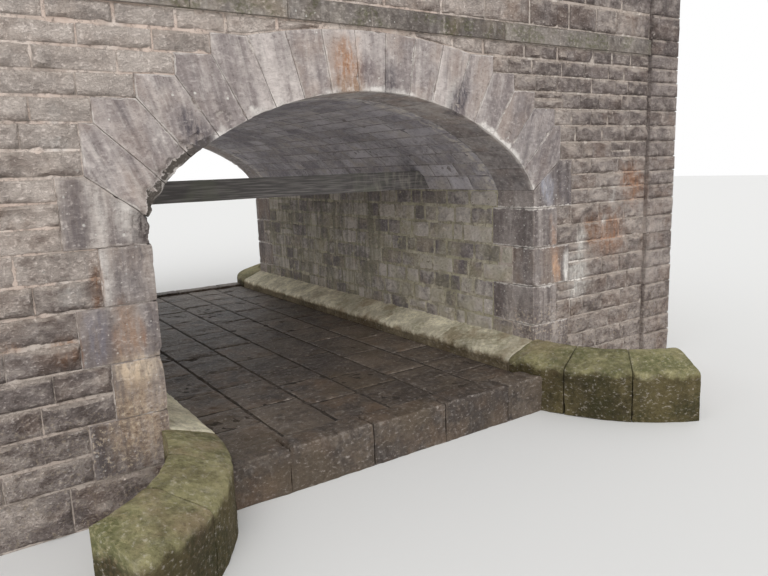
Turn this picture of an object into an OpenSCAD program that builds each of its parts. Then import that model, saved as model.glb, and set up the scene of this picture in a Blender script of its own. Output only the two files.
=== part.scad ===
// Single-span masonry arch bridge over a stream.
// Front elevation faces -Y. Origin: centre of the plan at the foot of the walls, +Z up.

/* [Passage] */
// Clear width between the jambs
clear_span = 4570; // [4200:10:4900]
// Height of the intrados crown above the springing line
arch_rise = 1087; // [1000:1:1200]
// Angle from the vertical at which the crown arc hands over to the haunch arc
haunch_angle = 35; // [30:1:40]
// Angle from the vertical of the haunch arc's normal where it meets the jamb
end_angle = 65; // [60:1:70]
// Depth of the joint fan's centre below the springing line
joint_fan_drop = 1720; // [1600:10:1850]
// Distance between the two faces
bridge_width = 8240; // [7000:10:9000]

/* [Jambs and springers] */
// Height of the foundation courses under the quoins
foundation_h = 402; // [300:1:500]
// Height of one quoin with its joint
quoin_h = 487; // [440:1:530]
// Number of quoins in a jamb
quoin_count = 4; // [3:1:5]
// Face length of the short quoins
quoin_face_short = 430; // [350:5:500]
// Face length of the long quoins
quoin_face_long = 650; // [550:5:750]
// Depth into the passage of the quoins with a short face
quoin_return_long = 690; // [620:5:800]
// Depth into the passage of the quoins with a long face
quoin_return_short = 330; // [250:5:400]
// Height of the springer stone
springer_h = 575; // [500:5:620]
// Height of the jamb between the springer's bed and the springing line
springer_toe = 220; // [160:5:280]
// Length of the springer's level top behind the skewback
springer_lap = 214; // [150:2:300]

/* [Arch ring] */
// Voussoirs on each side of the keystone
side_voussoirs = 8; // [7:1:9]
// Voussoirs on each side whose top is cut to a wall course
stepped_voussoirs = 5; // [4:1:5]
// Depth of the ring at the keystone
crown_depth = 573; // [500:1:640]
// Depth of the vault behind the rings, square to the intrados
barrel_t = 570; // [450:5:650]
// Width of the open joints between dressed stones
joint_w = 8; // [4:1:14]
// Distance that dressed stones stand proud of the walling
dressing_proud = 15; // [5:1:30]

/* [Walls] */
// Thickness of the face walls, and bed depth of the ring stones
wall_t = 600; // [500:10:700]
// Courses between the springer's top and the string course
wall_courses = 7; // [7:1:8]
// Height that each course loses against the one below
course_drop = 6; // [0:1:8]
// Height of walling between the keystone and the string course
crown_cover = 39; // [20:1:80]
// Length of the face wall from the jamb to the pilaster
wing_l = 2215; // [1900:5:2600]
// Width of an end pilaster on the face
pilaster_w = 600; // [450:10:750]
// Distance that a pilaster stands proud of the wall
pilaster_proud = 60; // [40:5:100]

/* [Parapet] */
// Height of the string course
string_h = 200; // [160:5:240]
// Distance that the string course stands proud of the wall
string_proud = 40; // [20:1:80]
// Fall of the string course's weathered top edge
string_fall = 20; // [10:1:40]
// Height of the parapet above the string course
parapet_h = 930; // [700:10:1100]
// Thickness of the parapet
parapet_t = 400; // [330:10:450]
// Number of coping stones between the pilasters
coping_stones = 9; // [7:1:12]
// Height of the coping at its ridge
coping_h = 170; // [140:5:220]
// Height of the coping at its edge
coping_edge_h = 90; // [60:5:120]
// Overhang of the coping on each side
coping_overhang = 45; // [20:5:80]

/* [Stream bed] */
// Top of the footing ledge where it meets the jamb
ledge_h = 730; // [650:5:800]
// Top of the footing ledge at its outer edge
ledge_edge_h = 580; // [500:5:620]
// Width of the footing ledge
ledge_w = 420; // [300:10:500]
// Radius of the ledge's rounded edge
ledge_round = 70; // [40:5:100]
// Radius of the water side of the curved aprons
apron_r = 2000; // [1800:10:2300]
// Width of the curved aprons
apron_w = 500; // [450:10:600]
// Angle through which an apron curves
apron_sweep = 65; // [50:1:75]
// Top of the stone floor between the footings
floor_h = 380; // [300:5:400]
// Top of the sill stones
sill_h = 430; // [405:5:480]
// Distance from the face to the outer edge of the sill
sill_reach = 500; // [400:10:650]
// Width of the sill stones along the stream
sill_w = 320; // [250:10:380]
// Number of sill stones on each side of the middle one
sill_side_stones = 2; // [1:1:3]

/* [Cross beam] */
// Distance of the beam's centre line behind the front face
beam_inset = 2100; // [1500:10:2600]
// Width of the beam
beam_w = 200; // [150:5:260]
// Depth of the beam
beam_d = 250; // [200:5:280]
// Height of the beam's underside above the springing line
beam_up = 20; // [10:1:60]
// Length of beam let into each haunch
beam_bearing = 150; // [120:5:200]

/* [Hidden] */
$fn = 360;
half_span = clear_span / 2;
half_width = bridge_width / 2;
bed_z = foundation_h + quoin_count * quoin_h;
spring_z = bed_z + springer_toe;
springer_top_z = bed_z + springer_h;
crown_z = spring_z + arch_rise;

// Three-centred intrados: a crown arc and two haunch arcs, tangent where they meet
arc_mix = sin(haunch_angle) * (cos(haunch_angle) - cos(end_angle))
    - (sin(end_angle) - sin(haunch_angle)) * (1 - cos(haunch_angle));
crown_r = (half_span * (cos(haunch_angle) - cos(end_angle))
    - arch_rise * (sin(end_angle) - sin(haunch_angle))) / arc_mix;
haunch_r = (arch_rise * sin(haunch_angle) - half_span * (1 - cos(haunch_angle))) / arc_mix;
crown_centre_z = crown_z - crown_r;
haunch_centre_x = (crown_r - haunch_r) * sin(haunch_angle);
haunch_centre_z = crown_centre_z + (crown_r - haunch_r) * cos(haunch_angle);

// Joints fan out from one centre, evenly spaced between the two skewbacks
fan_z = spring_z - joint_fan_drop;
skew_angle = atan2(half_span, joint_fan_drop);
voussoir_angle = 2 * skew_angle / (2 * side_voussoirs + 1);
function joint_angle(i) = skew_angle - i * voussoir_angle;
function on_joint(i, z) = [tan(joint_angle(i)) * (z - fan_z), z];
skew_top_x = on_joint(0, springer_top_z)[0];
springer_x = skew_top_x + springer_lap;

// Wall courses above the springers, each a little thinner than the one below
crown_top_z = crown_z + crown_depth;
string_z = crown_top_z + crown_cover;
course_h = (string_z - springer_top_z + course_drop * wall_courses * (wall_courses - 1) / 2) / wall_courses;
function course_z(k) = springer_top_z + k * course_h - course_drop * k * (k - 1) / 2;
function step_z(i) = i == 0 ? springer_top_z : course_z(i + 1);

// The crown stones share one flat arc from the last step to the keystone's top
crown_chord = on_joint(stepped_voussoirs, step_z(stepped_voussoirs));
crown_sagitta = crown_top_z - crown_chord[1];
extrados_r = (pow(crown_chord[0], 2) + pow(crown_sagitta, 2)) / (2 * crown_sagitta);

string_top_z = string_z + string_h;
parapet_top_z = string_top_z + parapet_h;
wing_x = half_span + wing_l;
end_x = wing_x + pilaster_w;
fill_y = half_width - wall_t;
toe_y = half_width + dressing_proud;
apron_centre_x = half_span - ledge_w + apron_r;
beam_z = spring_z + beam_up;
beam_y = -half_width + beam_inset;
cut = 1;
reach = 2 * end_x;

stone_face = "#8b8078";
stone_wall = "#7d7068";
stone_soffit = "#57504a";
stone_tan = "#9a8e78";
stone_dark = "#4a443e";
fill_brown = "#7a6d5b";
beam_black = "#2b2a28";

// Extrudes an elevation drawn in X and Z from y0 back to y1
module along_y(y0, y1) {
    translate([0, y1, 0]) rotate([90, 0, 0]) linear_extrude(y1 - y0) children();
}

// Extrudes a section drawn in Y and Z from x0 to x1
module along_x(x0, x1) {
    translate([x0, 0, 0]) rotate([90, 0, 90]) linear_extrude(x1 - x0) children();
}

// The child is drawn for the right-hand side of the front face
module left() { mirror([1, 0, 0]) children(); }
module back() { mirror([0, 1, 0]) children(); }

module rectangle(x0, z0, x1, z1) { translate([x0, z0]) square([x1 - x0, z1 - z0]); }

// Three-centred outline, grown outwards by t
module arch_outline(t) {
    crown_line = [reach * tan(haunch_angle), crown_centre_z + reach];
    intersection() {
        translate([0, crown_centre_z]) circle(crown_r + t);
        polygon([[0, crown_centre_z], crown_line, [-crown_line[0], crown_line[1]]]);
    }
    for (side = [0, 1])
        mirror([side, 0]) intersection() {
            translate([haunch_centre_x, haunch_centre_z]) circle(haunch_r + t);
            polygon([[0, crown_centre_z], crown_line, [reach, crown_line[1]],
                [reach, -reach], [0, -reach]]);
        }
}

// Everything a boat could pass through, from the ground to the intrados
module passage() {
    intersection() {
        rectangle(-half_span, -cut, half_span, crown_z + cut);
        union() {
            arch_outline(0);
            rectangle(-half_span, -cut, half_span, spring_z);
            polygon([[-half_span, spring_z], [half_span, spring_z], [0, crown_z - crown_depth]]);
        }
    }
}

// The part of the elevation above both skewbacks
module above_skewbacks() {
    polygon([[0, fan_z], [reach * tan(skew_angle), fan_z + reach], [-reach * tan(skew_angle), fan_z + reach]]);
}

module barrel_section() {
    difference() {
        intersection() {
            arch_outline(barrel_t);
            above_skewbacks();
        }
        passage();
    }
}

// One stone of the right-hand ring, counted upwards from the springer
module voussoir_outline(i) {
    low = joint_angle(i - 1);
    high = joint_angle(i);
    if (i <= stepped_voussoirs)
        polygon([[0, fan_z], on_joint(i - 1, step_z(i - 1)),
            [on_joint(i - 1, step_z(i - 1))[0], step_z(i)], on_joint(i, step_z(i))]);
    else
        intersection() {
            polygon([[0, fan_z], on_joint(i - 1, string_z), on_joint(i, string_z)]);
            translate([0, crown_top_z - extrados_r]) circle(extrados_r);
        }
}

module keystone_outline() {
    intersection() {
        polygon([[0, fan_z], on_joint(side_voussoirs, string_z),
            [-on_joint(side_voussoirs, string_z)[0], string_z]]);
        translate([0, crown_top_z - extrados_r]) circle(extrados_r);
    }
}

// The right-hand ring with the space below it, up to the steps and the crown arc
module ring_envelope() {
    polygon(concat([[0, fan_z], on_joint(0, step_z(0))],
        [for (i = [1 : stepped_voussoirs], x = [on_joint(i - 1, step_z(i - 1))[0], on_joint(i, step_z(i))[0]])
            [x, step_z(i)]],
        [[-crown_chord[0], crown_chord[1]]]));
    intersection() {
        rectangle(-crown_chord[0], fan_z, crown_chord[0], string_z);
        translate([0, crown_top_z - extrados_r]) circle(extrados_r);
    }
}

module springer_outline() {
    polygon([[half_span, bed_z], [springer_x, bed_z], [springer_x, springer_top_z],
        [skew_top_x, springer_top_z], [half_span, spring_z]]);
}

// Thin slot along joint i
module joint_slot(i) {
    translate([0, fan_z]) rotate(-joint_angle(i)) translate([-joint_w / 2, 0]) square([joint_w, reach]);
}

module quoin_block(i, joint) {
    short_face = (quoin_count - i) % 2 == 1;
    face_l = short_face ? quoin_face_short : quoin_face_long;
    return_l = short_face ? quoin_return_long : quoin_return_short;
    translate([half_span, -half_width - dressing_proud, foundation_h + i * quoin_h])
        cube([face_l, return_l + dressing_proud, quoin_h - joint]);
}

module quoin_pockets() {
    for (i = [0 : quoin_count - 1]) quoin_block(i, 0);
}

module beam_block() {
    translate([-half_span - beam_bearing, beam_y - beam_w / 2, beam_z])
        cube([clear_span + 2 * beam_bearing, beam_w, beam_d]);
}

module abutment() color(stone_soffit) {
    difference() {
        along_y(-fill_y, fill_y) difference() {
            rectangle(half_span, 0, end_x, springer_top_z);
            above_skewbacks();
        }
        quoin_pockets();
        back() quoin_pockets();
        beam_block();
    }
}

// Section of the ledge from its back (x = 0) to its rounded edge
module ledge_section(back_w) {
    slope = atan2(ledge_h - ledge_edge_h, ledge_w);
    round_z = ledge_edge_h - ledge_round;
    round_x = ledge_w - ledge_round;
    touch_x = round_x + ledge_round * sin(slope);
    touch_z = round_z + ledge_round * cos(slope);
    polygon([[-back_w, 0], [ledge_w, 0], [ledge_w, round_z], [round_x, round_z],
        [touch_x, touch_z], [0, touch_z + touch_x * tan(slope)],
        [-back_w, touch_z + touch_x * tan(slope)]]);
    intersection() {
        translate([round_x, round_z]) circle(ledge_round);
        rectangle(round_x, round_z, ledge_w, ledge_edge_h);
    }
}

module footing() color(stone_tan) {
    along_y(-toe_y, toe_y) translate([half_span, 0]) mirror([1, 0]) ledge_section(0);
}

module apron() color(stone_tan) {
    translate([apron_centre_x, -toe_y, 0]) rotate([0, 0, 180])
        rotate_extrude(angle = apron_sweep)
            translate([apron_r - ledge_w, 0]) ledge_section(apron_w - ledge_w);
}

module apron_bank() {
    for (side = [-1, 1])
        translate([side * apron_centre_x, -toe_y, -cut]) cylinder(r = apron_r, h = ledge_h);
}

module invert_floor() color(stone_dark) {
    difference() {
        translate([ledge_w - half_span, -half_width - sill_reach + sill_w, 0])
            cube([clear_span - 2 * ledge_w, bridge_width + 2 * (sill_reach - sill_w), floor_h]);
        apron_bank();
        back() apron_bank();
    }
}

module sill() color(stone_dark) {
    stone_l = clear_span / (2 * sill_side_stones + 1);
    difference() {
        for (i = [-sill_side_stones : sill_side_stones])
            translate([(i - 0.5) * stone_l + joint_w / 2, -half_width - sill_reach, 0])
                cube([stone_l - joint_w, sill_w, sill_h]);
        apron_bank();
    }
}

module arch_barrel() color(stone_soffit) {
    difference() {
        along_y(-fill_y, fill_y) barrel_section();
        beam_block();
    }
}

module springer() color(stone_face) {
    along_y(-toe_y, -fill_y) springer_outline();
}

module ring() color(stone_face) {
    for (i = [1 : side_voussoirs])
        along_y(-toe_y, -fill_y) difference() {
            voussoir_outline(i);
            passage();
            joint_slot(i - 1);
            joint_slot(i);
        }
}

module keystone() color(stone_face) {
    along_y(-toe_y, -fill_y) difference() {
        keystone_outline();
        passage();
        joint_slot(side_voussoirs);
        mirror([1, 0]) joint_slot(side_voussoirs);
    }
}

module quoins() color(stone_face) {
    for (i = [0 : quoin_count - 1]) quoin_block(i, joint_w);
}

module face_wall() color(stone_wall) {
    difference() {
        along_y(-half_width, -fill_y) difference() {
            rectangle(half_span, 0, wing_x, springer_top_z);
            springer_outline();
            above_skewbacks();
        }
        quoin_pockets();
    }
}

module spandrel() color(stone_wall) {
    along_y(-half_width, -fill_y) difference() {
        rectangle(0, springer_top_z, wing_x, string_z);
        ring_envelope();
    }
}

module pilaster() color(stone_wall) {
    translate([wing_x, -half_width - pilaster_proud, 0])
        cube([pilaster_w, wall_t + pilaster_proud, parapet_top_z]);
}

module string_course() color(stone_face) {
    along_x(-wing_x, wing_x) translate([-half_width, string_z])
        polygon([[wall_t, 0], [-string_proud, 0], [-string_proud, string_h - string_fall],
            [0, string_h], [wall_t, string_h]]);
}

module parapet() color(stone_wall) {
    translate([-wing_x, -half_width, string_top_z]) cube([2 * wing_x, parapet_t, parapet_h]);
}

// Saddleback section over a wall of thickness t, with its outer face at 0
module saddle_section(t) {
    polygon([[-coping_overhang, 0], [t + coping_overhang, 0], [t + coping_overhang, coping_edge_h],
        [t / 2, coping_h], [-coping_overhang, coping_edge_h]]);
}

module coping() color(stone_face) {
    run = 2 * (wing_x - coping_overhang);
    stone_l = run / coping_stones;
    for (i = [0 : coping_stones - 1])
        along_x(-run / 2 + i * stone_l + joint_w / 2, -run / 2 + (i + 1) * stone_l - joint_w / 2)
            translate([-half_width, parapet_top_z]) saddle_section(parapet_t);
    for (side = [0, 1])
        mirror([side, 0, 0]) intersection() {
            along_x(wing_x - coping_overhang, end_x + coping_overhang)
                translate([-half_width - pilaster_proud, parapet_top_z]) saddle_section(wall_t + pilaster_proud);
            along_y(-reach, reach) translate([wing_x, parapet_top_z]) saddle_section(pilaster_w);
        }
}

module deck_fill() color(fill_brown) {
    along_y(-fill_y, fill_y) difference() {
        rectangle(-end_x, spring_z, end_x, string_top_z);
        passage();
        intersection() {
            arch_outline(barrel_t);
            above_skewbacks();
        }
        for (side = [0, 1])
            mirror([side, 0]) difference() {
                rectangle(half_span - cut, spring_z - cut, end_x + cut, springer_top_z);
                above_skewbacks();
            }
    }
}

module cross_beam() color(beam_black) { beam_block(); }

left() abutment();  // left_abutment
abutment();  // right_abutment
left() footing();  // left_footing
footing();  // right_footing
union() { apron(); left() apron(); }  // front_aprons
back() { apron(); left() apron(); }  // back_aprons
invert_floor();
sill();  // front_sill
back() sill();  // back_sill
arch_barrel();
left() springer();  // front_left_springer
springer();  // front_right_springer
back() left() springer();  // back_left_springer
back() springer();  // back_right_springer
left() ring();  // front_left_ring
keystone();  // front_keystone
ring();  // front_right_ring
back() left() ring();  // back_left_ring
back() keystone();  // back_keystone
back() ring();  // back_right_ring
left() quoins();  // front_left_quoins
quoins();  // front_right_quoins
back() left() quoins();  // back_left_quoins
back() quoins();  // back_right_quoins
left() face_wall();  // front_left_wall
face_wall();  // front_right_wall
back() left() face_wall();  // back_left_wall
back() face_wall();  // back_right_wall
left() spandrel();  // front_left_spandrel
spandrel();  // front_right_spandrel
back() left() spandrel();  // back_left_spandrel
back() spandrel();  // back_right_spandrel
left() pilaster();  // front_left_pilaster
pilaster();  // front_right_pilaster
back() left() pilaster();  // back_left_pilaster
back() pilaster();  // back_right_pilaster
string_course();  // front_string_course
back() string_course();  // back_string_course
parapet();  // front_parapet
back() parapet();  // back_parapet
coping();  // front_coping
back() coping();  // back_coping
deck_fill();
cross_beam();
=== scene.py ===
"""Weathered stonework of a single-span arch bridge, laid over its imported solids.

Metres, +Z up, the front face on -Y. Each stone is a closed block with its own outline,
worn arrises and face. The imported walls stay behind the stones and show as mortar.
"""
import math
from itertools import pairwise
from typing import NamedTuple

import bpy
import numpy as np
from mathutils import Matrix, Vector


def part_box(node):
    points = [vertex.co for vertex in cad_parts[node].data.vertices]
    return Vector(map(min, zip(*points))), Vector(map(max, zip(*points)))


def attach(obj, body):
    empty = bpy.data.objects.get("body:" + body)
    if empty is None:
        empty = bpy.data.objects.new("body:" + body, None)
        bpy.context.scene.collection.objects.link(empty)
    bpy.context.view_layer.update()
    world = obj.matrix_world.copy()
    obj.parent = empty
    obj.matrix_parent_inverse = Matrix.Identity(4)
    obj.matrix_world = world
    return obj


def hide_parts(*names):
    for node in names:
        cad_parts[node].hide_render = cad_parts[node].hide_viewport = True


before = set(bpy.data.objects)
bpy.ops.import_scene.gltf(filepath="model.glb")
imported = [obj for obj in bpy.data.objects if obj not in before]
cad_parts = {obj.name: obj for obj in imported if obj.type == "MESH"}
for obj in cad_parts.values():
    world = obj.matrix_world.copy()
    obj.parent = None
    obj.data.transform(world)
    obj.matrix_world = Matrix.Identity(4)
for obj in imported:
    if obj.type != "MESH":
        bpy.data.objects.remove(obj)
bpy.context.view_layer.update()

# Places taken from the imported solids
HALF_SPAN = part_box("right_abutment")[0].x
WALL_Y = -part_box("front_right_wall")[0].y
DRESSED_Y = -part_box("front_right_springer")[0].y
FILL_Y = -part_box("arch_barrel")[0].y
PILASTER_Y = -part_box("front_right_pilaster")[0].y
WING_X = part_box("front_right_wall")[1].x
END_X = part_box("front_right_pilaster")[1].x
FOUNDATION_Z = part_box("front_right_quoins")[0].z
BED_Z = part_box("front_right_springer")[0].z
SPRINGER_TOP_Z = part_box("front_right_springer")[1].z
SPRINGER_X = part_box("front_right_springer")[1].x
STRING_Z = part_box("front_string_course")[0].z
STRING_TOP_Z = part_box("front_string_course")[1].z
PARAPET_TOP_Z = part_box("front_parapet")[1].z
COPING_TOP_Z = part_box("front_coping")[1].z
CROWN_TOP_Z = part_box("front_keystone")[1].z
FLOOR_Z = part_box("invert_floor")[1].z
FLOOR_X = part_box("invert_floor")[1].x
FLOOR_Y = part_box("invert_floor")[1].y
SILL_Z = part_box("front_sill")[1].z
SILL_OUT_Y = -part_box("front_sill")[0].y
SILL_IN_Y = -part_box("front_sill")[1].y
BEAM_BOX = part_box("cross_beam")

# Driving dimensions of the arch
ARCH_RISE = 1.087
SPRINGER_TOE = 0.220
HAUNCH_ANGLE = math.radians(35)
END_ANGLE = math.radians(65)
JOINT_FAN_DROP = 1.720
SIDE_VOUSSOIRS = 8
STEPPED_VOUSSOIRS = 5
COURSE_DROP = 0.006
WALL_COURSES = 7
TOP_START = 0.550
VAULT_COURSES = 25

# Driving dimensions of the jambs, top and bed
QUOIN_COUNT = 4
QUOIN_FACES = {True: 0.430, False: 0.650}
QUOIN_RETURNS = {True: 0.690, False: 0.330}
STRING_PROUD = 0.040
STRING_FALL = 0.020
STRING_STONES = 10
PARAPET_T = 0.400
PARAPET_COURSES = 3
COPING_STONES = 9
COPING_EDGE = 0.090
COPING_OVERHANG = 0.045
LEDGE_W = 0.420
LEDGE_BACK_Z = 0.730
LEDGE_EDGE_Z = 0.580
LEDGE_ROUND = 0.070
LEDGE_SLABS = 6
APRON_R = 2.000
APRON_W = 0.500
APRON_SWEEP = math.radians(65)
APRON_SLABS = 3
SILL_STONES = 5
FLOOR_ROWS = 6
LOW_END_COURSES = 10
HIGH_END_COURSES = 5

# Joints, and how deep and proud the stones sit
JOINT = 0.008
RING_JOINT = 0.004
VAULT_GAP = 0.006
TOP_GAP = 0.007
RING_GAP = 0.009
PILASTER_GAP = 0.003
JOINT_SINK = 0.010
FOOT_SINK = 0.035
DRESSED_OUT = 0.003
STONE_OUT = 0.004
STONE_DEPTH = 0.03
VAULT_OUT = 0.002
EARTH_OUT = 0.012
EARTH_DEPTH = 0.02
BED_SLACK = 0.005
STREAK_LEAN = 0.45

SPRING_Z = BED_Z + SPRINGER_TOE
CROWN_Z = SPRING_Z + ARCH_RISE
FAN_Z = SPRING_Z - JOINT_FAN_DROP
SKEW_ANGLE = math.atan2(HALF_SPAN, JOINT_FAN_DROP)
VOUSSOIR_ANGLE = 2 * SKEW_ANGLE / (2 * SIDE_VOUSSOIRS + 1)
QUOIN_H = (BED_Z - FOUNDATION_Z) / QUOIN_COUNT
RING_DEPTH = DRESSED_Y - FILL_Y
RING_DEPTHS = [0.014, 0.04, 0.09, 0.17, 0.28, 0.42, RING_DEPTH]
APRON_X = HALF_SPAN - LEDGE_W + APRON_R
CURVE_POINTS = 9
EDGE_POINTS = 7
NOSE_POINTS = 6

# Three-centred intrados
HAUNCH_SIN, HAUNCH_COS = math.sin(HAUNCH_ANGLE), math.cos(HAUNCH_ANGLE)
END_SIN, END_COS = math.sin(END_ANGLE), math.cos(END_ANGLE)
ARC_MIX = HAUNCH_SIN * (HAUNCH_COS - END_COS) - (END_SIN - HAUNCH_SIN) * (1 - HAUNCH_COS)
CROWN_R = (HALF_SPAN * (HAUNCH_COS - END_COS) - ARCH_RISE * (END_SIN - HAUNCH_SIN)) / ARC_MIX
HAUNCH_R = (ARCH_RISE * HAUNCH_SIN - HALF_SPAN * (1 - HAUNCH_COS)) / ARC_MIX
FAN_CENTRE = np.array([0.0, FAN_Z])
CROWN_CENTRE = np.array([0.0, CROWN_Z - CROWN_R])
HAUNCH_CENTRE = CROWN_CENTRE + (CROWN_R - HAUNCH_R) * np.array([HAUNCH_SIN, HAUNCH_COS])

DROPS = WALL_COURSES * (WALL_COURSES - 1) / 2
COURSE_H = (STRING_Z - SPRINGER_TOP_Z + COURSE_DROP * DROPS) / WALL_COURSES
SIDES = {"left": -1, "right": 1}
FACES = {"front": -1, "back": 1}


def course_z(k):
    """Level of the bed under wall course k, counted from the springer's top."""
    return SPRINGER_TOP_Z + k * COURSE_H - COURSE_DROP * k * (k - 1) / 2


def step_z(i):
    """Level of the top of voussoir i."""
    return SPRINGER_TOP_Z if i == 0 else course_z(i + 1)


def joint_angle(i):
    return SKEW_ANGLE - i * VOUSSOIR_ANGLE


def on_ray(angle, z):
    return math.tan(angle) * (z - FAN_Z), z


CROWN_CHORD = on_ray(joint_angle(STEPPED_VOUSSOIRS), step_z(STEPPED_VOUSSOIRS))
CROWN_SAGITTA = CROWN_TOP_Z - CROWN_CHORD[1]
EXTRADOS_R = (CROWN_CHORD[0] ** 2 + CROWN_SAGITTA ** 2) / (2 * CROWN_SAGITTA)
EXTRADOS_CENTRE = np.array([0.0, CROWN_TOP_Z - EXTRADOS_R])


def ray_to_circle(angle, centre, radius):
    """Where the ray from the joint fan's centre, at angle from upright, leaves a circle."""
    way = np.stack([np.sin(angle), np.cos(angle)], -1)
    start = FAN_CENTRE - centre
    b = (way * start).sum(-1)
    reach = -b + np.sqrt(b * b - (start * start).sum(-1) + radius ** 2)
    return FAN_CENTRE + way * reach[..., None]


def arch_point(angle, out=0.0):
    """Points of the intrados on the fan's rays, moved square out of it, and the normals there."""
    angle = np.asarray(angle, float)
    side = np.where(angle < 0, -1.0, 1.0)
    crown = ray_to_circle(np.abs(angle), CROWN_CENTRE, CROWN_R + out)
    haunch = ray_to_circle(np.abs(angle), HAUNCH_CENTRE, HAUNCH_R + out)
    steep = np.arctan2(crown[..., 0], crown[..., 1] - CROWN_CENTRE[1]) > HAUNCH_ANGLE
    point = np.where(steep[..., None], haunch, crown)
    normal = point - np.where(steep[..., None], HAUNCH_CENTRE, CROWN_CENTRE)
    normal = normal / np.linalg.norm(normal, axis=-1, keepdims=True)
    mirror = np.stack([side, np.ones_like(side)], -1)
    return point * mirror, normal * mirror


# Noise and small helpers
HASH_STEPS = np.array([374761393, 668265263, 1103515245])
HASH_SEED = 974634777
HASH_MIX = 1274126177
HASH_TOP = 0xFFFF
OCTAVE_SHIFT = 0.37


def lattice(cell, seed):
    """One number from -1 to 1 for each whole-number cell, always the same."""
    n = cell @ HASH_STEPS + seed * HASH_SEED
    n = (n ^ (n >> 13)) * HASH_MIX
    return ((n ^ (n >> 16)) & HASH_TOP) / (HASH_TOP / 2) - 1


def noise(points, size, seed, octaves=1):
    """Smooth noise from about -1 to 1, with lumps about size across in the first octave."""
    total = 0
    for octave in range(octaves):
        place = points / size * 2 ** octave + OCTAVE_SHIFT * octave
        cell = np.floor(place).astype(np.int64)
        part = place - cell
        part = part * part * (3 - 2 * part)
        for corner in np.ndindex(2, 2, 2):
            weight = np.prod(np.where(corner, part, 1 - part), -1)
            total = total + weight * lattice(cell + corner, seed + octave) / 2 ** octave
    return total


def smooth(low, high, x):
    part = np.clip((x - low) / (high - low), 0, 1)
    return part * part * (3 - 2 * part)


def run(line):
    """Length of a line of points."""
    return np.linalg.norm(np.diff(line, axis=0), axis=1).sum()


def along(line, shares):
    """Points at shares, from 0 to 1, of the length of a line of points."""
    lengths = np.concatenate([[0], np.cumsum(np.linalg.norm(np.diff(line, axis=0), axis=1))])
    return np.stack([np.interp(shares * lengths[-1], lengths, line[:, k]) for k in (0, 1)], -1)


def spread(length, step, rim, corner=None):
    """Shares of a side: even, with one more close to each end, and on a corner in it."""
    count = max(2, round(length / step))
    shares = np.linspace(0, 1, count + 1)
    close = min(rim / length, 0.4 / count)
    if corner is not None:
        shares = shares[(np.abs(shares - corner) > 0.5 / count) | (shares == 0) | (shares == 1)]
        shares = np.append(shares, [corner, corner - close, corner + close])
    return np.unique(np.round(np.append(shares, [close, 1 - close]), 6))


def rectangle(x0, z0, x1, z1):
    """Bottom, top, left and right of a rectangle."""
    return [(x0, z0), (x1, z0)], [(x0, z1), (x1, z1)], [(x0, z0), (x0, z1)], [(x1, z0), (x1, z1)]


def between(bottom, top):
    """A patch between two lines, with straight sides."""
    return bottom, top, [bottom[0], top[0]], [bottom[-1], top[-1]]


class Plane:
    """Maps a stone's own (across, up, out) to the row frame."""

    def __init__(self, origin, across, up, out):
        self.origin = np.array(origin, float)
        self.basis = np.array([across, up, out], float)
        self.flip = np.linalg.det(self.basis) < 0

    def __call__(self, p):
        return self.origin + p @ self.basis


class Vault:
    """Maps (along the passage, round the vault at a radius, into the passage) to the row frame."""
    flip = False

    def __init__(self, radius):
        self.radius = radius

    def __call__(self, p):
        point, normal = arch_point(p[..., 1] / self.radius)
        inside = point - normal * p[..., 2:3]
        return np.stack([inside[..., 0], p[..., 0], inside[..., 1]], -1)


class Bend:
    """Maps (out from an apron's centre, up, back round its bend) to the row frame."""

    def __init__(self, x_sign, y_sign, start):
        self.signs = (x_sign, y_sign)
        self.start = start
        self.flip = x_sign * y_sign > 0

    def __call__(self, p):
        turn = self.start - p[..., 2] / APRON_R
        x = self.signs[0] * (APRON_X - p[..., 0] * np.cos(turn))
        y = self.signs[1] * (DRESSED_Y + p[..., 0] * np.sin(turn))
        return np.stack([x, y, p[..., 1]], -1)


X, Y, Z = np.eye(3)


def face_plane(x_sign, y_sign, y):
    """Elevation of one face: across from the middle, up, and out of the face."""
    return Plane(y_sign * y * Y, x_sign * X, Z, y_sign * Y)


def run_plane(x, y_sign):
    """Cross-section of what runs on along +X from x."""
    return Plane(x * X, y_sign * Y, Z, -X)


class Finish(NamedTuple):
    """How a stone's surface is worked and worn, in metres: the spacing of its points, the wear
    of its arrises, the depth of chips out of them, how far its outline wanders, how far a rock
    face stands out, the heights of its fine and broad unevenness, and how both are drawn out."""
    step: float
    arris: float
    chip: float = 0.0
    wander: float = 0.0
    pillow: float = 0.0
    rough: float = 0.0
    wave: float = 0.0
    stretch: tuple = (1.0, 1.0, 1.0)


DRESSED = Finish(0.024, 0.006, chip=0.018, wander=0.002, rough=0.0025, wave=0.004)
ROCK = Finish(0.034, 0.008, chip=0.016, wander=0.010, pillow=0.034, rough=0.0080, wave=0.004)
PARAPET = Finish(0.050, 0.010, chip=0.012, wander=0.008, pillow=0.026, rough=0.0070, wave=0.004)
JAMB = Finish(0.042, 0.012, chip=0.018, wander=0.018, pillow=0.020, rough=0.0040, wave=0.003)
SOFFIT = Finish(0.068, 0.008, chip=0.008, wander=0.006, pillow=0.010, rough=0.0040, wave=0.003)
RUBBLE = Finish(0.095, 0.014, chip=0.015, wander=0.016, pillow=0.036, rough=0.0060, wave=0.008)
FLAG = Finish(0.060, 0.012, chip=0.012, wander=0.008, pillow=0.008, rough=0.0050, wave=0.004)
WORN = Finish(0.048, 0.012, chip=0.016, wander=0.004, rough=0.0050, wave=0.008)
EARTH = Finish(0.100, 0.010, rough=0.0090, wave=0.012)
TIMBER = Finish(0.028, 0.012, chip=0.020, rough=0.0030, wave=0.004, stretch=(0.12, 1.0, 1.0))
CORE = Finish(0.200, 0.001)
RING_STONE = dict(depth=RING_DEPTH, work=DRESSED, out=DRESSED_OUT, depths=RING_DEPTHS)
EDGE_BAND = 0.06
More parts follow.
